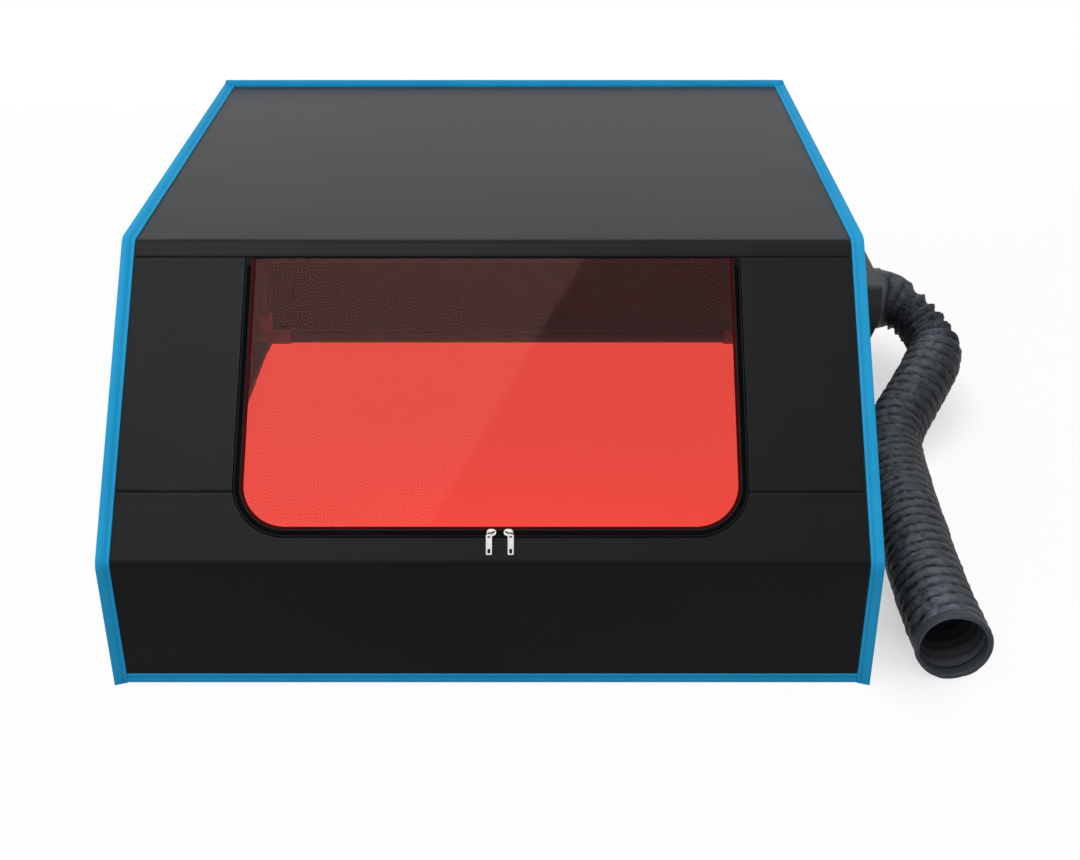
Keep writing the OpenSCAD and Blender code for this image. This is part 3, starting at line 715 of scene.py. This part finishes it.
roofCloth = wideCloth("roofCloth", highSeamAt, rearSeamAt, "roof_panel", sag=0.0012, seed=2.0)
frontCloth = wideCloth("frontCloth", 0.0, lowSeamAt, "front_apron", seed=3.0)
cutWindow(frontCloth)
stileCloths = []
for side, name in ((-1, "left"), (1, "right")):
    low, high = sorted((side * (windowHalf - stileLap), side * innerHalf))
    look = dict(clothLook, seed=5.0 + side)
    stile = clothPanel(name + "StileCloth", low, high, lowSeamAt, highSeamAt, look, name + "_stile")
    cutWindow(stile)
    stileCloths.append(stile)
backCloth = wideCloth("backCloth", rearSeamAt, backAt, "rear_panel", sag=0.0008, seed=8.0)


# a round hole in the right side
def cutRound(piece, y, z, radius):
    deselectAll()
    bpy.ops.mesh.primitive_cylinder_add(
        vertices=96, radius=radius, depth=2 * cutDepth, location=(halfWidth, y, z), rotation=(0, math.pi / 2, 0)
    )
    cutAway(piece, bpy.context.object)


# the cable outlet in the back, and the duct and its four screws in the right side
portSet = {"width": 0.110, "low": 0.024, "high": 0.060}
ductSet = {"y": 0.598, "z": 0.108, "radius": 0.0552, "screws": 0.0525, "screw": 0.00215}

deselectAll()
bpy.ops.mesh.primitive_cube_add(
    size=1,
    location=(0, bodyDeep, (portSet["low"] + portSet["high"]) / 2),
    scale=(portSet["width"], cutDepth, portSet["high"] - portSet["low"]),
)
cutAway(backCloth, bpy.context.object)


# height of the side at a distance from the front
def sideTop(y):
    if y <= kneeCentre.y - bend * math.sin(slopeTurn) + 1e-9:
        return kneeCentre.z + math.sqrt(max(0.0, bend ** 2 - (bend - y) ** 2))
    if y < roofCentre.y - bend * math.sin(slopeTurn):
        return kneeHigh + y * math.tan(slopeTurn)
    if y < roofCentre.y:
        return roofCentre.z + math.sqrt(bend ** 2 - (roofCentre.y - y) ** 2)
    if y <= rearCentre.y:
        return bodyHigh
    return rearCentre.z + math.sqrt(max(0.0, rearBend ** 2 - (y - rearCentre.y) ** 2))


def sideName(side):
    return "right" if side > 0 else "left"


sideSet = {"rows": 26, "swell": 0.0005, "calmEdge": 0.03, "sink": 0.0002}


def sideCloth(side, node):
    ys = []
    for place, out, s in stops:
        if place.z > kneeCentre.z - 0.001 and (place.y < rearCentre.y or place.z > rearCentre.z - 1e-6):
            ys.append(place.y)
    ys = sorted(set(round(y, 6) for y in ys) | {0.0, bodyDeep} | {0.001, 0.0022})
    rows = sideSet["rows"]
    points, faces = [], []
    for y in ys:
        top = sideTop(y)
        for j in range(rows + 1):
            z = hemLift + (top - hemLift) * j / rows
            edge = min(y, bodyDeep - y, z, top - z)
            swell = sideSet["swell"] * noise.noise(Vector((y * 6, z * 6, 3 + side)))
            swell *= min(1.0, edge / sideSet["calmEdge"])
            points.append(Vector((side * (halfWidth + swell - sideSet["sink"]), y, z)))
    n = rows + 1
    for i in range(len(ys) - 1):
        for j in range(rows):
            a = i * n + j
            quad = (a, a + n, a + n + 1, a + 1)
            faces.append(quad if side > 0 else quad[::-1])
    piece = meshPiece(sideName(side) + "SideCloth", points, faces)
    layMap(piece, lambda k: points[k].yz)
    thicken(piece, cloth - sideSet["sink"])
    if side > 0:
        y0, z0, away = ductSet["y"], ductSet["z"], ductSet["screws"]
        cutRound(piece, y0, z0, ductSet["radius"])
        for y in (-away, away):
            for z in (-away, away):
                cutRound(piece, y0 + y, z0 + z, ductSet["screw"])
    return dress(piece, "cloth", "enclosure", node)


leftSide = sideCloth(-1, "left_side_panel")
rightSide = sideCloth(1, "right_side_panel")
print("cloth panels made")


mergeWithin = 0.00001  # corners nearer than this are made one


# a sewn strip is its section, drawn once and then extruded and spun along its run;
# it starts as a circle whose corners are moved to the section's places
def startStrip(name, section):
    deselectAll()
    bpy.ops.mesh.primitive_circle_add(vertices=len(section), radius=0.01, fill_type="NGON")
    strip = bpy.context.object
    strip.name = name
    for v, place in zip(strip.data.vertices, section):
        v.co = place
    editAll(strip)
    return strip


def pullStrip(step, parts=1):
    for i in range(parts):
        bpy.ops.mesh.extrude_region_move(TRANSFORM_OT_translate={"value": tuple(step / parts)})


def turnStrip(centre, axis, angle, parts=12):
    bpy.ops.mesh.spin(steps=parts, angle=angle, center=tuple(centre), axis=tuple(axis))


def endStrip(strip):
    editAll(strip)
    bpy.ops.mesh.remove_doubles(threshold=mergeWithin)
    outward(strip)
    smoothPiece(strip, 50)


finSet = {"width": 0.0114, "thick": 0.0026, "lean": 0.0038, "foot": 0.0012}


# tape section in side and outward distances, with the sewn groove along it
def finSection():
    w, t, lean, foot = finSet["width"], finSet["thick"], finSet["lean"], finSet["foot"]
    groove = [(0.24, foot), (0.27, foot - 0.0005), (0.31, foot - 0.0005), (0.34, foot)]
    top = [(0.0, foot), *groove, (0.93, foot), (1.0, foot - 0.0006)]
    bottom = [(1.0, foot - t + 0.0006), (0.93, foot - t), (0.0, foot - t)]
    return [(x * w, n + lean * x) for x, n in top + bottom]


def makeFin(side):
    section = [Vector((side * (halfWidth + x), -n, 0)) for x, n in finSection()]
    strip = startStrip(sideName(side) + "BlueBinding", section)
    pullStrip(Vector((0, 0, kneeCentre.z)), 10)
    turnStrip(kneeCentre, (1, 0, 0), math.pi / 2 - slopeTurn, 10)
    run = slopeLength - kneeTangent - roofTangent
    pullStrip(run * alongSlope, 16)
    turnStrip(roofCentre, (1, 0, 0), slopeTurn, 10)
    pullStrip(Vector((0, rearCentre.y - roofCentre.y, 0)), 24)
    turnStrip(rearCentre, (1, 0, 0), math.pi / 2, 10)
    pullStrip(Vector((0, 0, -rearCentre.z)), 16)
    endStrip(strip)
    dress(strip, "blue", "enclosure", sideName(side) + "_binding")


makeFin(-1)
makeFin(1)
print("side bindings made")

rearFinSet = {
    "low": 0.3518, "high": 0.360, "front": 0.7445, "thick": 0.0024, "half": 0.3386, "out": 0.3504,
    "lift": 0.0017, "back": 0.0026, "drawIn": 0.0016,
}


# upright tape whose ends run out over the side tapes and lean with them
def makeRearFin():
    y, t, z0 = rearFinSet["front"], rearFinSet["thick"], rearFinSet["low"]
    high, half = rearFinSet["high"] - z0, rearFinSet["half"]
    section = [
        (0.3, 0), (0.04, 0.10), (0, 0.16), (0.02, 0.40), (0.09, 0.64), (0.22, 0.84),
        (0.42, 0.96), (0.66, 1.0), (0.88, 0.95), (1, 0.82), (1, 0),
    ]
    strip = startStrip("rearTopBlueBinding", [Vector((-half, y + t * a, z0 + high * b)) for a, b in section])
    pullStrip(Vector((2 * half, 0, 0)), 40)
    endStrip(strip)
    editAll(strip)
    bpy.ops.mesh.select_all(action="DESELECT")
    for side in (-1, 1):
        bpy.ops.object.mode_set(mode="OBJECT")
        for face in strip.data.polygons:
            face.select = abs(face.normal.x - side) < 0.01
        bpy.ops.object.mode_set(mode="EDIT")
        pullStrip(Vector((side * (rearFinSet["out"] - half), 0, 0)))
        bpy.ops.mesh.select_all(action="DESELECT")
    bpy.ops.object.mode_set(mode="OBJECT")
    raised = rearFinSet["lift"] + finSet["lean"]
    for v in strip.data.vertices:
        up = (v.co.z - z0) / high
        if abs(v.co.x) > half + 0.001:
            v.co.z = z0 + raised + (high - raised) * up
            v.co.x -= math.copysign(rearFinSet["drawIn"] * up, v.co.x)
        v.co.y += up * (rearFinSet["back"] + 0.0004 * noise.noise(Vector((v.co.x * 14, 4, 2))))
    outward(strip)
    smoothPiece(strip, 50)
    dress(strip, "blue", "enclosure", "rear_top_binding")


makeRearFin()

hemSet = {"high": 0.010, "thick": 0.0006, "inner": 0.006, "reach": 0.3389}


# folded tape in inward and upward distances, from its outer top edge round under the cloth
def hemSection():
    t, h, c = hemSet["thick"], hemSet["high"], cloth
    inner = hemSet["inner"]
    return [
        (-t * 0.55, h), (-t, h - 0.0006), (-t, 0.0064), (-t * 0.35, 0.0060), (-t * 0.35, 0.0054), (-t, 0.0050),
        (-t, 0.0006), (-t * 0.5, 0), (c + t * 0.5, 0), (c + t, 0.0005), (c + t, inner), (c, inner),
        (c, t), (0, t), (0, h),
    ]


# the front and rear tapes' outer faces reach on over the ends of the side tapes
def makeHem(side, place, run, reach=0.0):
    strip = startStrip(side + "HemTape", [place(d, z) for d, z in hemSection()])
    pullStrip(run, 30)
    endStrip(strip)
    for v in strip.data.vertices:
        outer = min(abs(v.co.y), abs(v.co.y - bodyDeep)) < 0.0007 and not 0 < v.co.y < bodyDeep
        if reach and outer and abs(v.co.x) > hemHalf - 0.0001:
            v.co.x = math.copysign(reach, v.co.x)
    dress(strip, "blue", "enclosure", side + "_hem")


hemHalf = innerHalf - 2 * hemSet["thick"]
hemGap = finSet["thick"] - finSet["foot"] + 0.0003
acrossRun = Vector((2 * hemHalf, 0, 0))
depthRun = Vector((0, bodyDeep - 2 * hemGap, 0))
makeHem("front", lambda d, z: Vector((-hemHalf, d, z)), acrossRun, hemSet["reach"])
makeHem("rear", lambda d, z: Vector((-hemHalf, bodyDeep - d, z)), acrossRun, hemSet["reach"])
makeHem("left", lambda d, z: Vector((-halfWidth + d, hemGap, z)), depthRun)
makeHem("right", lambda d, z: Vector((halfWidth - d, hemGap, z)), depthRun)

stitchSet = {
    "length": 0.0026, "radius": 0.00022, "pitch": 0.0042, "across": 0.305, "up": 0.47, "hem": 0.0057,
    "cap": 1.12, "dip": 0.00012,
}


def stitchUnit():
    deselectAll()
    bpy.ops.mesh.primitive_cylinder_add(
        vertices=6, radius=stitchSet["radius"], depth=stitchSet["length"], end_fill_type="TRIFAN"
    )
    unit = bpy.context.object
    for v in unit.data.vertices:
        if v.co.xy.length < 1e-6:
            v.co.z *= stitchSet["cap"]
        v.co.y -= stitchSet["dip"] * (v.co.z / stitchSet["length"] * 2) ** 2
    return unit


def stitchRow(name, places):
    dress(repeatPiece(name, stitchUnit(), places), "blueThread", "enclosure", None)


def finStitches(side):
    places, across = [], stitchSet["across"] * finSet["width"]
    lift = finSet["foot"] + stitchSet["across"] * finSet["lean"] - 0.0003
    count = int(backAt / stitchSet["pitch"])
    for i in range(count):
        s = (i + 0.5) * backAt / count
        place, out = stopAt(s)
        along = Vector((1, 0, 0)).cross(out).normalized()
        places.append((Vector((side * (halfWidth + across), place.y, place.z)) + lift * out, along, out))
    stitchRow(sideName(side) + "BindingStitches", places)


def straightStitches(name, start, run, up):
    count, along = int(run.length / stitchSet["pitch"]), run.normalized()
    places = [(start + run * (i + 0.5) / count, along, Vector(up)) for i in range(count)]
    stitchRow(name + "Stitches", places)


def tapeStitches():
    d, z = hemSet["thick"] * 0.35 + 0.0001, stitchSet["hem"]
    rearZ = rearFinSet["low"] + stitchSet["up"] * (rearFinSet["high"] - rearFinSet["low"])
    w, h = halfWidth + d, bodyDeep
    finStitches(-1)
    finStitches(1)
    straightStitches("frontHem", Vector((-hemHalf, -d, z)), acrossRun, (0, -1, 0))
    straightStitches("rearHem", Vector((-hemHalf, h + d, z)), acrossRun, (0, 1, 0))
    straightStitches("leftHem", Vector((-w, hemGap, z)), depthRun, (-1, 0, 0))
    straightStitches("rightHem", Vector((w, hemGap, z)), depthRun, (1, 0, 0))
    y = rearFinSet["front"] + stitchSet["up"] * rearFinSet["back"] + 0.00002
    straightStitches("rearTop", Vector((-hemHalf, y, rearZ)), acrossRun, (0, -1, 0))


tapeStitches()
print("tapes stitched")

zipSet = {
    "tape": 0.0044, "gap": 0.0004, "coil": 0.0016, "tooth": 0.0005, "pitch": 0.0016,
    "arch": 0.00045, "drop": 0.0003,
    "top": highSeam - 0.001, "coilTop": highSeam - 0.009,
}
millimetre = 0.001


# carries a section, in millimetres inward from the window's edge and out of the slope,
# round the window's U from its left top to its right top
def sweepWindow(name, section, top, key, node, body):
    section = [(d * millimetre, n * millimetre) for d, n in section]
    strip = startStrip(name, [onSlope(-(windowHalf - d), top, n) for d, n in section])
    corner = windowLow + windowRound
    pullStrip(-(top - corner) * alongSlope, 16)
    turnStrip(onSlope(-(windowHalf - windowRound), corner, 0), outOfSlope, -math.pi / 2, 24)
    pullStrip(Vector((2 * (windowHalf - windowRound), 0, 0)), 30)
    turnStrip(onSlope(windowHalf - windowRound, corner, 0), outOfSlope, -math.pi / 2, 24)
    pullStrip((top - corner) * alongSlope, 16)
    endStrip(strip)
    return dress(strip, key, body, node)


coverTapeSection = [
    (-0.4, -2.7), (-0.4, -2.3), (0.1, -2.3), (0.1, 0.1), (0.5, 0.1), (0.5, -2.3), (1.3, -2.3), (1.5, -0.6),
    (4.55, -0.6), (4.55, -1.35), (5.1, -1.35), (5.1, -1.65), (1.9, -1.65), (1.7, -2.7),
]
coverEdgeSection = [
    (1.3, -0.8), (1.3, -0.2), (1.45, 0.1), (1.8, 0.25), (2.15, 0.1), (2.3, -0.2), (2.3, -0.8),
]
flapTapeSection = [
    (4.65, -1.2), (4.65, -0.6), (7.8, -0.6), (7.8, -0.85), (6, -0.85), (6, -1.65), (9, -1.65), (9, -2.1),
    (5.6, -2.1), (5.2, -1.2),
]
filmEdgeSection = [
    (7.7, -0.85), (7.7, -0.5), (8.1, -0.3), (9.2, -0.25), (10.1, -0.4), (10.5, -0.7), (10.5, -0.85),
]
flapEdgeSection = [
    (6.4, -0.7), (6.4, -0.2), (6.6, 0.1), (7.1, 0.25), (7.6, 0.1), (7.9, -0.2), (7.9, -0.85), (7.2, -0.85),
]


def makeCoil(name, inset, node, body):
    deselectAll()
    bpy.ops.mesh.primitive_cylinder_add(
        vertices=6, radius=zipSet["tooth"], depth=zipSet["coil"], rotation=(0, math.pi / 2, 0)
    )
    tooth = bpy.context.object
    bpy.ops.object.transform_apply(location=True, rotation=True, scale=True)
    editAll(tooth)
    bpy.ops.mesh.subdivide(number_cuts=1)
    bpy.ops.object.mode_set(mode="OBJECT")
    for v in tooth.data.vertices:
        v.co.y += zipSet["arch"] * (1 - (v.co.x / (zipSet["coil"] / 2)) ** 2) - zipSet["drop"]
    outline = zipStops(inset + zipSet["coil"] / 2, zipSet["coilTop"])
    lengths = [0.0]
    for (a, da), (b, db) in zip(outline, outline[1:]):
        lengths.append(lengths[-1] + math.dist(a, b))
    places = []
    for s, j, t in evenPlaces(lengths, int(lengths[-1] / zipSet["pitch"])):
        p = Vector(outline[j][0]).lerp(Vector(outline[j + 1][0]), t)
        d = Vector(outline[j][1]).lerp(Vector(outline[j + 1][1]), t)
        across = (d.x * Vector((1, 0, 0)) + d.y * alongSlope).normalized()
        places.append((onSlope(p.x, p.y, 0.0), across.cross(outOfSlope), outOfSlope))
    return dress(repeatPiece(name, tooth, places), "coil", body, node)


sweepWindow("coverZipTape", coverTapeSection, highSeam, "zipTape", "cover_zip", "enclosure")
sweepWindow("coverZipEdge", coverEdgeSection, highSeam, "piping", "cover_zip", "enclosure")
makeCoil("coverZipCoil", zipSet["tape"] - zipSet["coil"], "cover_zip", "enclosure")
flapTape = sweepWindow("flapZipTape", flapTapeSection, zipSet["top"], "zipTape", "flap_zip", "window_flap")
flapEdge = sweepWindow("flapZipEdge", flapEdgeSection, zipSet["top"], "piping", "flap_zip", "window_flap")
# a bead on the film's edge, painted dark red as painted shade
shadedFilmEdge = sweepWindow("shadedFilmEdgeBead", filmEdgeSection, zipSet["top"], "shadedFilmEdge", "flap_zip", "window_flap")
flapCoil = makeCoil("flapZipCoil", zipSet["tape"] + zipSet["gap"], "flap_zip", "window_flap")


def makeFilm():
    inset, top = filmSet["inset"], zipSet["top"]
    w, r, low = windowHalf - inset, windowRound - inset, windowLow + inset
    vs = [low + r * (1 - math.cos(math.pi / 2 * i / 14)) for i in range(14)]
    vs += [low + r + (top - low - r) * i / filmSet["rows"] for i in range(filmSet["rows"] + 1)]
    points = []
    for v in vs:
        reach = w if v >= low + r else w - r + math.sqrt(max(0.0, r * r - (low + r - v) ** 2))
        for i in range(filmSet["columns"] + 1):
            u = -reach + 2 * reach * i / filmSet["columns"]
            edge = min(1.0, *(gap / filmSet["calmEdge"] for gap in (reach - abs(u), v - low, top - v)))
            lift = filmSet["wave"] * noise.noise(Vector((u * 5, v * 6, 5))) * max(0.0, edge)
            points.append(onSlope(u, v, filmSet["depth"] + lift))
    piece = meshPiece("redWindowFilm", points, gridFaces(len(vs) - 1, filmSet["columns"]))
    thicken(piece, filmSet["thick"])
    smoothPiece(piece, 30)
    return dress(piece, "film", "window_flap", "window_film")


windowFilm = makeFilm()
turnInSet = {"half": windowHalf - 0.005, "low": -0.005, "high": 0.003, "under": -0.0026, "over": -0.0022}


# the cover's seam allowance, turned down behind the film's top edge
def makeTurnIn():
    low, high, under, over = (turnInSet[key] for key in ("low", "high", "under", "over"))
    section = [(low, under), (low, over), (high, over), (high, under)]
    strip = startStrip("windowTopTurnIn", [onSlope(-turnInSet["half"], highSeam + v, n) for v, n in section])
    pullStrip(Vector((2 * turnInSet["half"], 0, 0)), 4)
    endStrip(strip)
    dress(strip, "zipTape", "enclosure", None)


makeTurnIn()
print("zip and window made")


# a CAD node's shape with its loose triangles merged and its edges rounded
def softened(node, name, key, body, width, segments):
    piece = linkPiece(name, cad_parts[node].data.copy())
    editAll(piece)
    bpy.ops.mesh.remove_doubles(threshold=mergeWithin)
    bpy.ops.mesh.dissolve_limited(angle_limit=math.radians(0.8))
    bpy.ops.object.mode_set(mode="OBJECT")
    soft = piece.modifiers.new("soft", "BEVEL")
    soft.width = width
    soft.segments = segments
    soft.limit_method = "ANGLE"
    soft.angle_limit = math.radians(30)
    soft.harden_normals = False
    applyAll(piece)
    smoothPiece(piece, 35)
    return dress(piece, key, body, node)


# the gap under a slider's crown, cut as an arc into its top, with the cut faces painted dark as painted shade
def cutPaintedCrownShade(piece, u):
    arc, points, parts = crownSet, [], 16
    for i in range(parts + 1):
        turn = math.radians(-90 + arc["spread"] * (2 * i / parts - 1))
        for reach in (arc["radius"] - arc["thick"] / 2, arc["radius"] + arc["thick"] / 2):
            for n in (arc["floor"], arc["roof"]):
                v = zipV + arc["rise"] + reach * math.sin(turn)
                points.append(onSlope(u + reach * math.cos(turn), v, n))
    faces = [(0, 1, 3, 2), (4 * parts, 4 * parts + 2, 4 * parts + 3, 4 * parts + 1)]
    for i in range(parts):
        for a, b in ((0, 2), (2, 3), (3, 1), (1, 0)):
            faces.append((4 * i + a, 4 * i + b, 4 * i + 4 + b, 4 * i + 4 + a))
    cutter = meshPiece("crownCutter", points, faces)
    outward(cutter)
    paint(piece, "pull", "coil")
    paint(cutter, "pull", "coil")
    # the groove's faces take the dark coil finish: painted shade
    for face in cutter.data.polygons:
        face.material_index = 1
    cutAway(piece, cutter)


zipV = windowLow + zipSet["tape"] + zipSet["gap"] / 2
crownSet = {"radius": 0.0032, "rise": 0.0027, "thick": 0.0015, "spread": 62, "floor": 0.0012, "roof": 0.0027}
crownsAt = {"left": 0.001, "right": 0.01625}  # places along the zip
holesAt = {"left": -0.0011, "right": 0.01835}
for side, u in crownsAt.items():
    node = side + "_slider"
    cutPaintedCrownShade(softened(node, side + "SliderBody", "pull", node, 0.0003, 3), u)


holeShadeSet = {"rim": 0.0012, "half": 0.0014, "steep": 0.6}


# the walls of a tab's two holes are painted dark: painted shade
def paintHoleShade(piece, x):
    paint(piece, "pull", "coil")
    along = [v.co.dot(alongSlope) for v in piece.data.vertices]
    low, high = min(along) + holeShadeSet["rim"], max(along) - holeShadeSet["rim"]
    for face in piece.data.polygons:
        wall = max(abs(face.normal.x), abs(face.normal.dot(alongSlope))) > holeShadeSet["steep"]
        if wall and abs(face.center.x - x) < holeShadeSet["half"] and low < face.center.dot(alongSlope) < high:
            face.material_index = 1


for side, x in holesAt.items():
    node = side + "_pull_tab"
    paintHoleShade(softened(node, side + "PullTab", "pull", node, 0.00014, 2), x)
softened("exhaust_housing", "exhaustHousing", "fanPlastic", "enclosure", 0.0005, 3)

flapSet = {
    "half": 0.067, "low": 0.016, "high": 0.066, "front": 0.7503, "thick": 0.0011, "cloth": 0.0009,
    "seam": 0.0003, "seamAt": 0.004, "seamWide": 0.001, "wrinkle": 0.0002,
}


def makeCableFlap():
    points, columns, rows = [], 40, 18
    for j in range(rows + 1):
        z = flapSet["low"] + (flapSet["high"] - flapSet["low"]) * j / rows
        for i in range(columns + 1):
            x = -flapSet["half"] + 2 * flapSet["half"] * i / columns
            edge = min(flapSet["half"] - abs(x), z - flapSet["low"])
            dip = flapSet["seam"] * math.exp(-((edge - flapSet["seamAt"]) ** 2) / flapSet["seamWide"] ** 2)
            dip += flapSet["wrinkle"] * abs(noise.noise(Vector((x * 20, z * 20, 3))))
            points.append(Vector((x, flapSet["front"] + flapSet["thick"] - dip, z)))
    piece = meshPiece("cableFlapCloth", points, gridFaces(rows, columns, flip=True))
    layMap(piece, lambda k: points[k].xz)
    thicken(piece, flapSet["cloth"])
    smoothPiece(piece, 40)
    return dress(piece, "cloth", "cable_flap", "cable_flap")


cableFlap = makeCableFlap()

# finishes on the CAD nodes that stay
finishes = {"finger_guard": "guard", "fan_screws": "steel", "hose_collar": "hoseRing"}
for name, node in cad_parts.items():
    if node.hide_render:
        continue
    if "connector" in name:
        key = "connector"
    elif name.endswith(("tube", "post", "rail", "bar")):
        key = "tube"
    else:
        key = finishes.get(name, "fanPlastic")
    paint(node, key)
    print("finish", key, "on", name)

for panel in (roofCloth, frontCloth, backCloth, leftSide, rightSide, *stileCloths):
    smoothPiece(panel, 40)


# the window's area between two heights on the slope
def windowArea(v0, v1, parts=2000):
    total, low = 0.0, windowLow + windowRound
    for i in range(parts):
        v = v0 + (v1 - v0) * (i + 0.5) / parts
        if v < windowLow:
            continue
        reach = windowHalf
        if v < low:
            reach += math.sqrt(max(0.0, windowRound ** 2 - (low - v) ** 2)) - windowRound
        total += 2 * reach * (v1 - v0) / parts
    return total


bodyWide = 2 * innerHalf
roofLength, backLength, frontLength = rearSeamAt - highSeamAt, backAt - rearSeamAt, lowSeamAt
frontArea = bodyWide * frontLength - windowArea(0, lowSeam)
for stile in stileCloths:
    wide, long = innerHalf - windowHalf + stileLap, highSeamAt - lowSeamAt
    lost = 0.5 * (windowArea(lowSeam, highSeam) - 2 * (windowHalf - stileLap) * long)

lightSet = {
    "floor": 0.66, "world": 0.44,
    "key": 50, "keyPlace": (-1.12, -0.583, 2.6), "keySize": 2.4, "keyTurnDeg": -27.4,
    "wide": 40, "widePlace": (-0.1, -0.72, 2.62), "wideSize": 3.2,
    "nearWhite": 0.94, "hoseShadowWhite": 0.55, "insideWhite": 0.78, "insideSoft": 0.002, "poolEdge": 0.4,
    "nearZone": ((0.08, 1.5, 0.8), (0.35, 1.6, 0.9)),
    "hoseShadowPools": (((0.395, 0.23), (0.105, 0.34)), ((0.43, 0.60), (0.21, 0.26))),
}


# 1 for rays that come straight from the camera, off a shiny surface or through a clear one
def seenRays(tree):
    path = addNode(tree, "ShaderNodeLightPath").outputs
    seen = mathOf(tree, "MAXIMUM", path["Is Camera Ray"], path["Is Glossy Ray"])
    return mathOf(tree, "MAXIMUM", seen, path["Is Transmission Ray"])


def addFloor():
    deselectAll()
    bpy.ops.mesh.primitive_plane_add(size=16, location=(0, 0, 0))
    floor = bpy.context.object
    floor.name = "paleFloor"
    material, tree, shader = newMaterial("paleFloor")
    setSockets(shader, {
        "Base Color": (lightSet["floor"],) * 3 + (1,), "Roughness": 0.9, "Specular IOR Level": 0.0,
    })
    place = objectPlace(tree)
    x, y = addNode(tree, "ShaderNodeSeparateXYZ", {"Vector": place}).outputs[:2]

    # white outside a rectangle, and less white within it
    def zone(xs, ys, white):
        sides = []
        for socket, (centre, half, soft) in ((x, xs), (y, ys)):
            away = mathOf(tree, "ABSOLUTE", mathOf(tree, "SUBTRACT", socket, centre))
            sides.append(between(tree, away, white, start=half - soft, end=half))
        return mathOf(tree, "MAXIMUM", *sides)

    # white outside an ellipse, and less white towards its middle: a painted shadow pool, which also lets the real
    # shadow show
    def shadowPool(centre, reach, white):
        away = addNode(tree, "ShaderNodeVectorMath", {0: place, 1: centre + (0,)}, operation="SUBTRACT")
        ratio = {0: away.outputs["Vector"], 1: reach + (1,)}
        away = addNode(tree, "ShaderNodeVectorMath", ratio, operation="DIVIDE")
        away = addNode(tree, "ShaderNodeVectorMath", {0: away.outputs["Vector"]}, operation="LENGTH")
        return between(tree, away.outputs["Value"], white, start=lightSet["poolEdge"], kind="SMOOTHSTEP")

    # the floor shows wholly white far away, less near the object and between the walls so the real shadow shows,
    # and by the hose it is also set dimmer as a painted shadow
    deep, soft = bodyDeep / 2, lightSet["insideSoft"]
    amount = seenRays(tree)
    least = zone(*lightSet["nearZone"], lightSet["nearWhite"])
    others = [shadowPool(*spot, lightSet["hoseShadowWhite"]) for spot in lightSet["hoseShadowPools"]]
    others.append(zone((0, innerHalf, soft), (deep, deep - 0.001, soft), lightSet["insideWhite"]))
    for other in others:
        least = mathOf(tree, "MINIMUM", least, other)
    white = addNode(tree, "ShaderNodeEmission", {"Strength": 1.0})
    mixShaders(tree, mathOf(tree, "MULTIPLY", least, amount), shader, white)
    floor.data.materials.append(material)


def addLamp(name, place, size, power, turnDeg=0.0):
    bpy.ops.object.light_add(type="AREA", location=place, rotation=(0, 0, math.radians(turnDeg)))
    lamp = bpy.context.object
    lamp.name = name
    lamp.data.shape = "SQUARE"
    lamp.data.size = size
    lamp.data.energy = power


# the world shows white to the camera, to shiny surfaces and through clear ones
def setWorld():
    world = bpy.data.worlds.new("studioWorld")
    bpy.context.scene.world = world
    world.use_nodes = True
    tree = world.node_tree
    level = between(tree, seenRays(tree), lightSet["world"])
    setSockets(tree.nodes["Background"], {"Strength": level, "Color": (1, 1, 1, 1)})


addFloor()
addLamp("edgeSoftbox", lightSet["keyPlace"], lightSet["keySize"], lightSet["key"], lightSet["keyTurnDeg"])
addLamp("wideSoftbox", lightSet["widePlace"], lightSet["wideSize"], lightSet["wide"])
setWorld()
bpy.context.scene.view_settings.view_transform = "Standard"
print("stage lit")
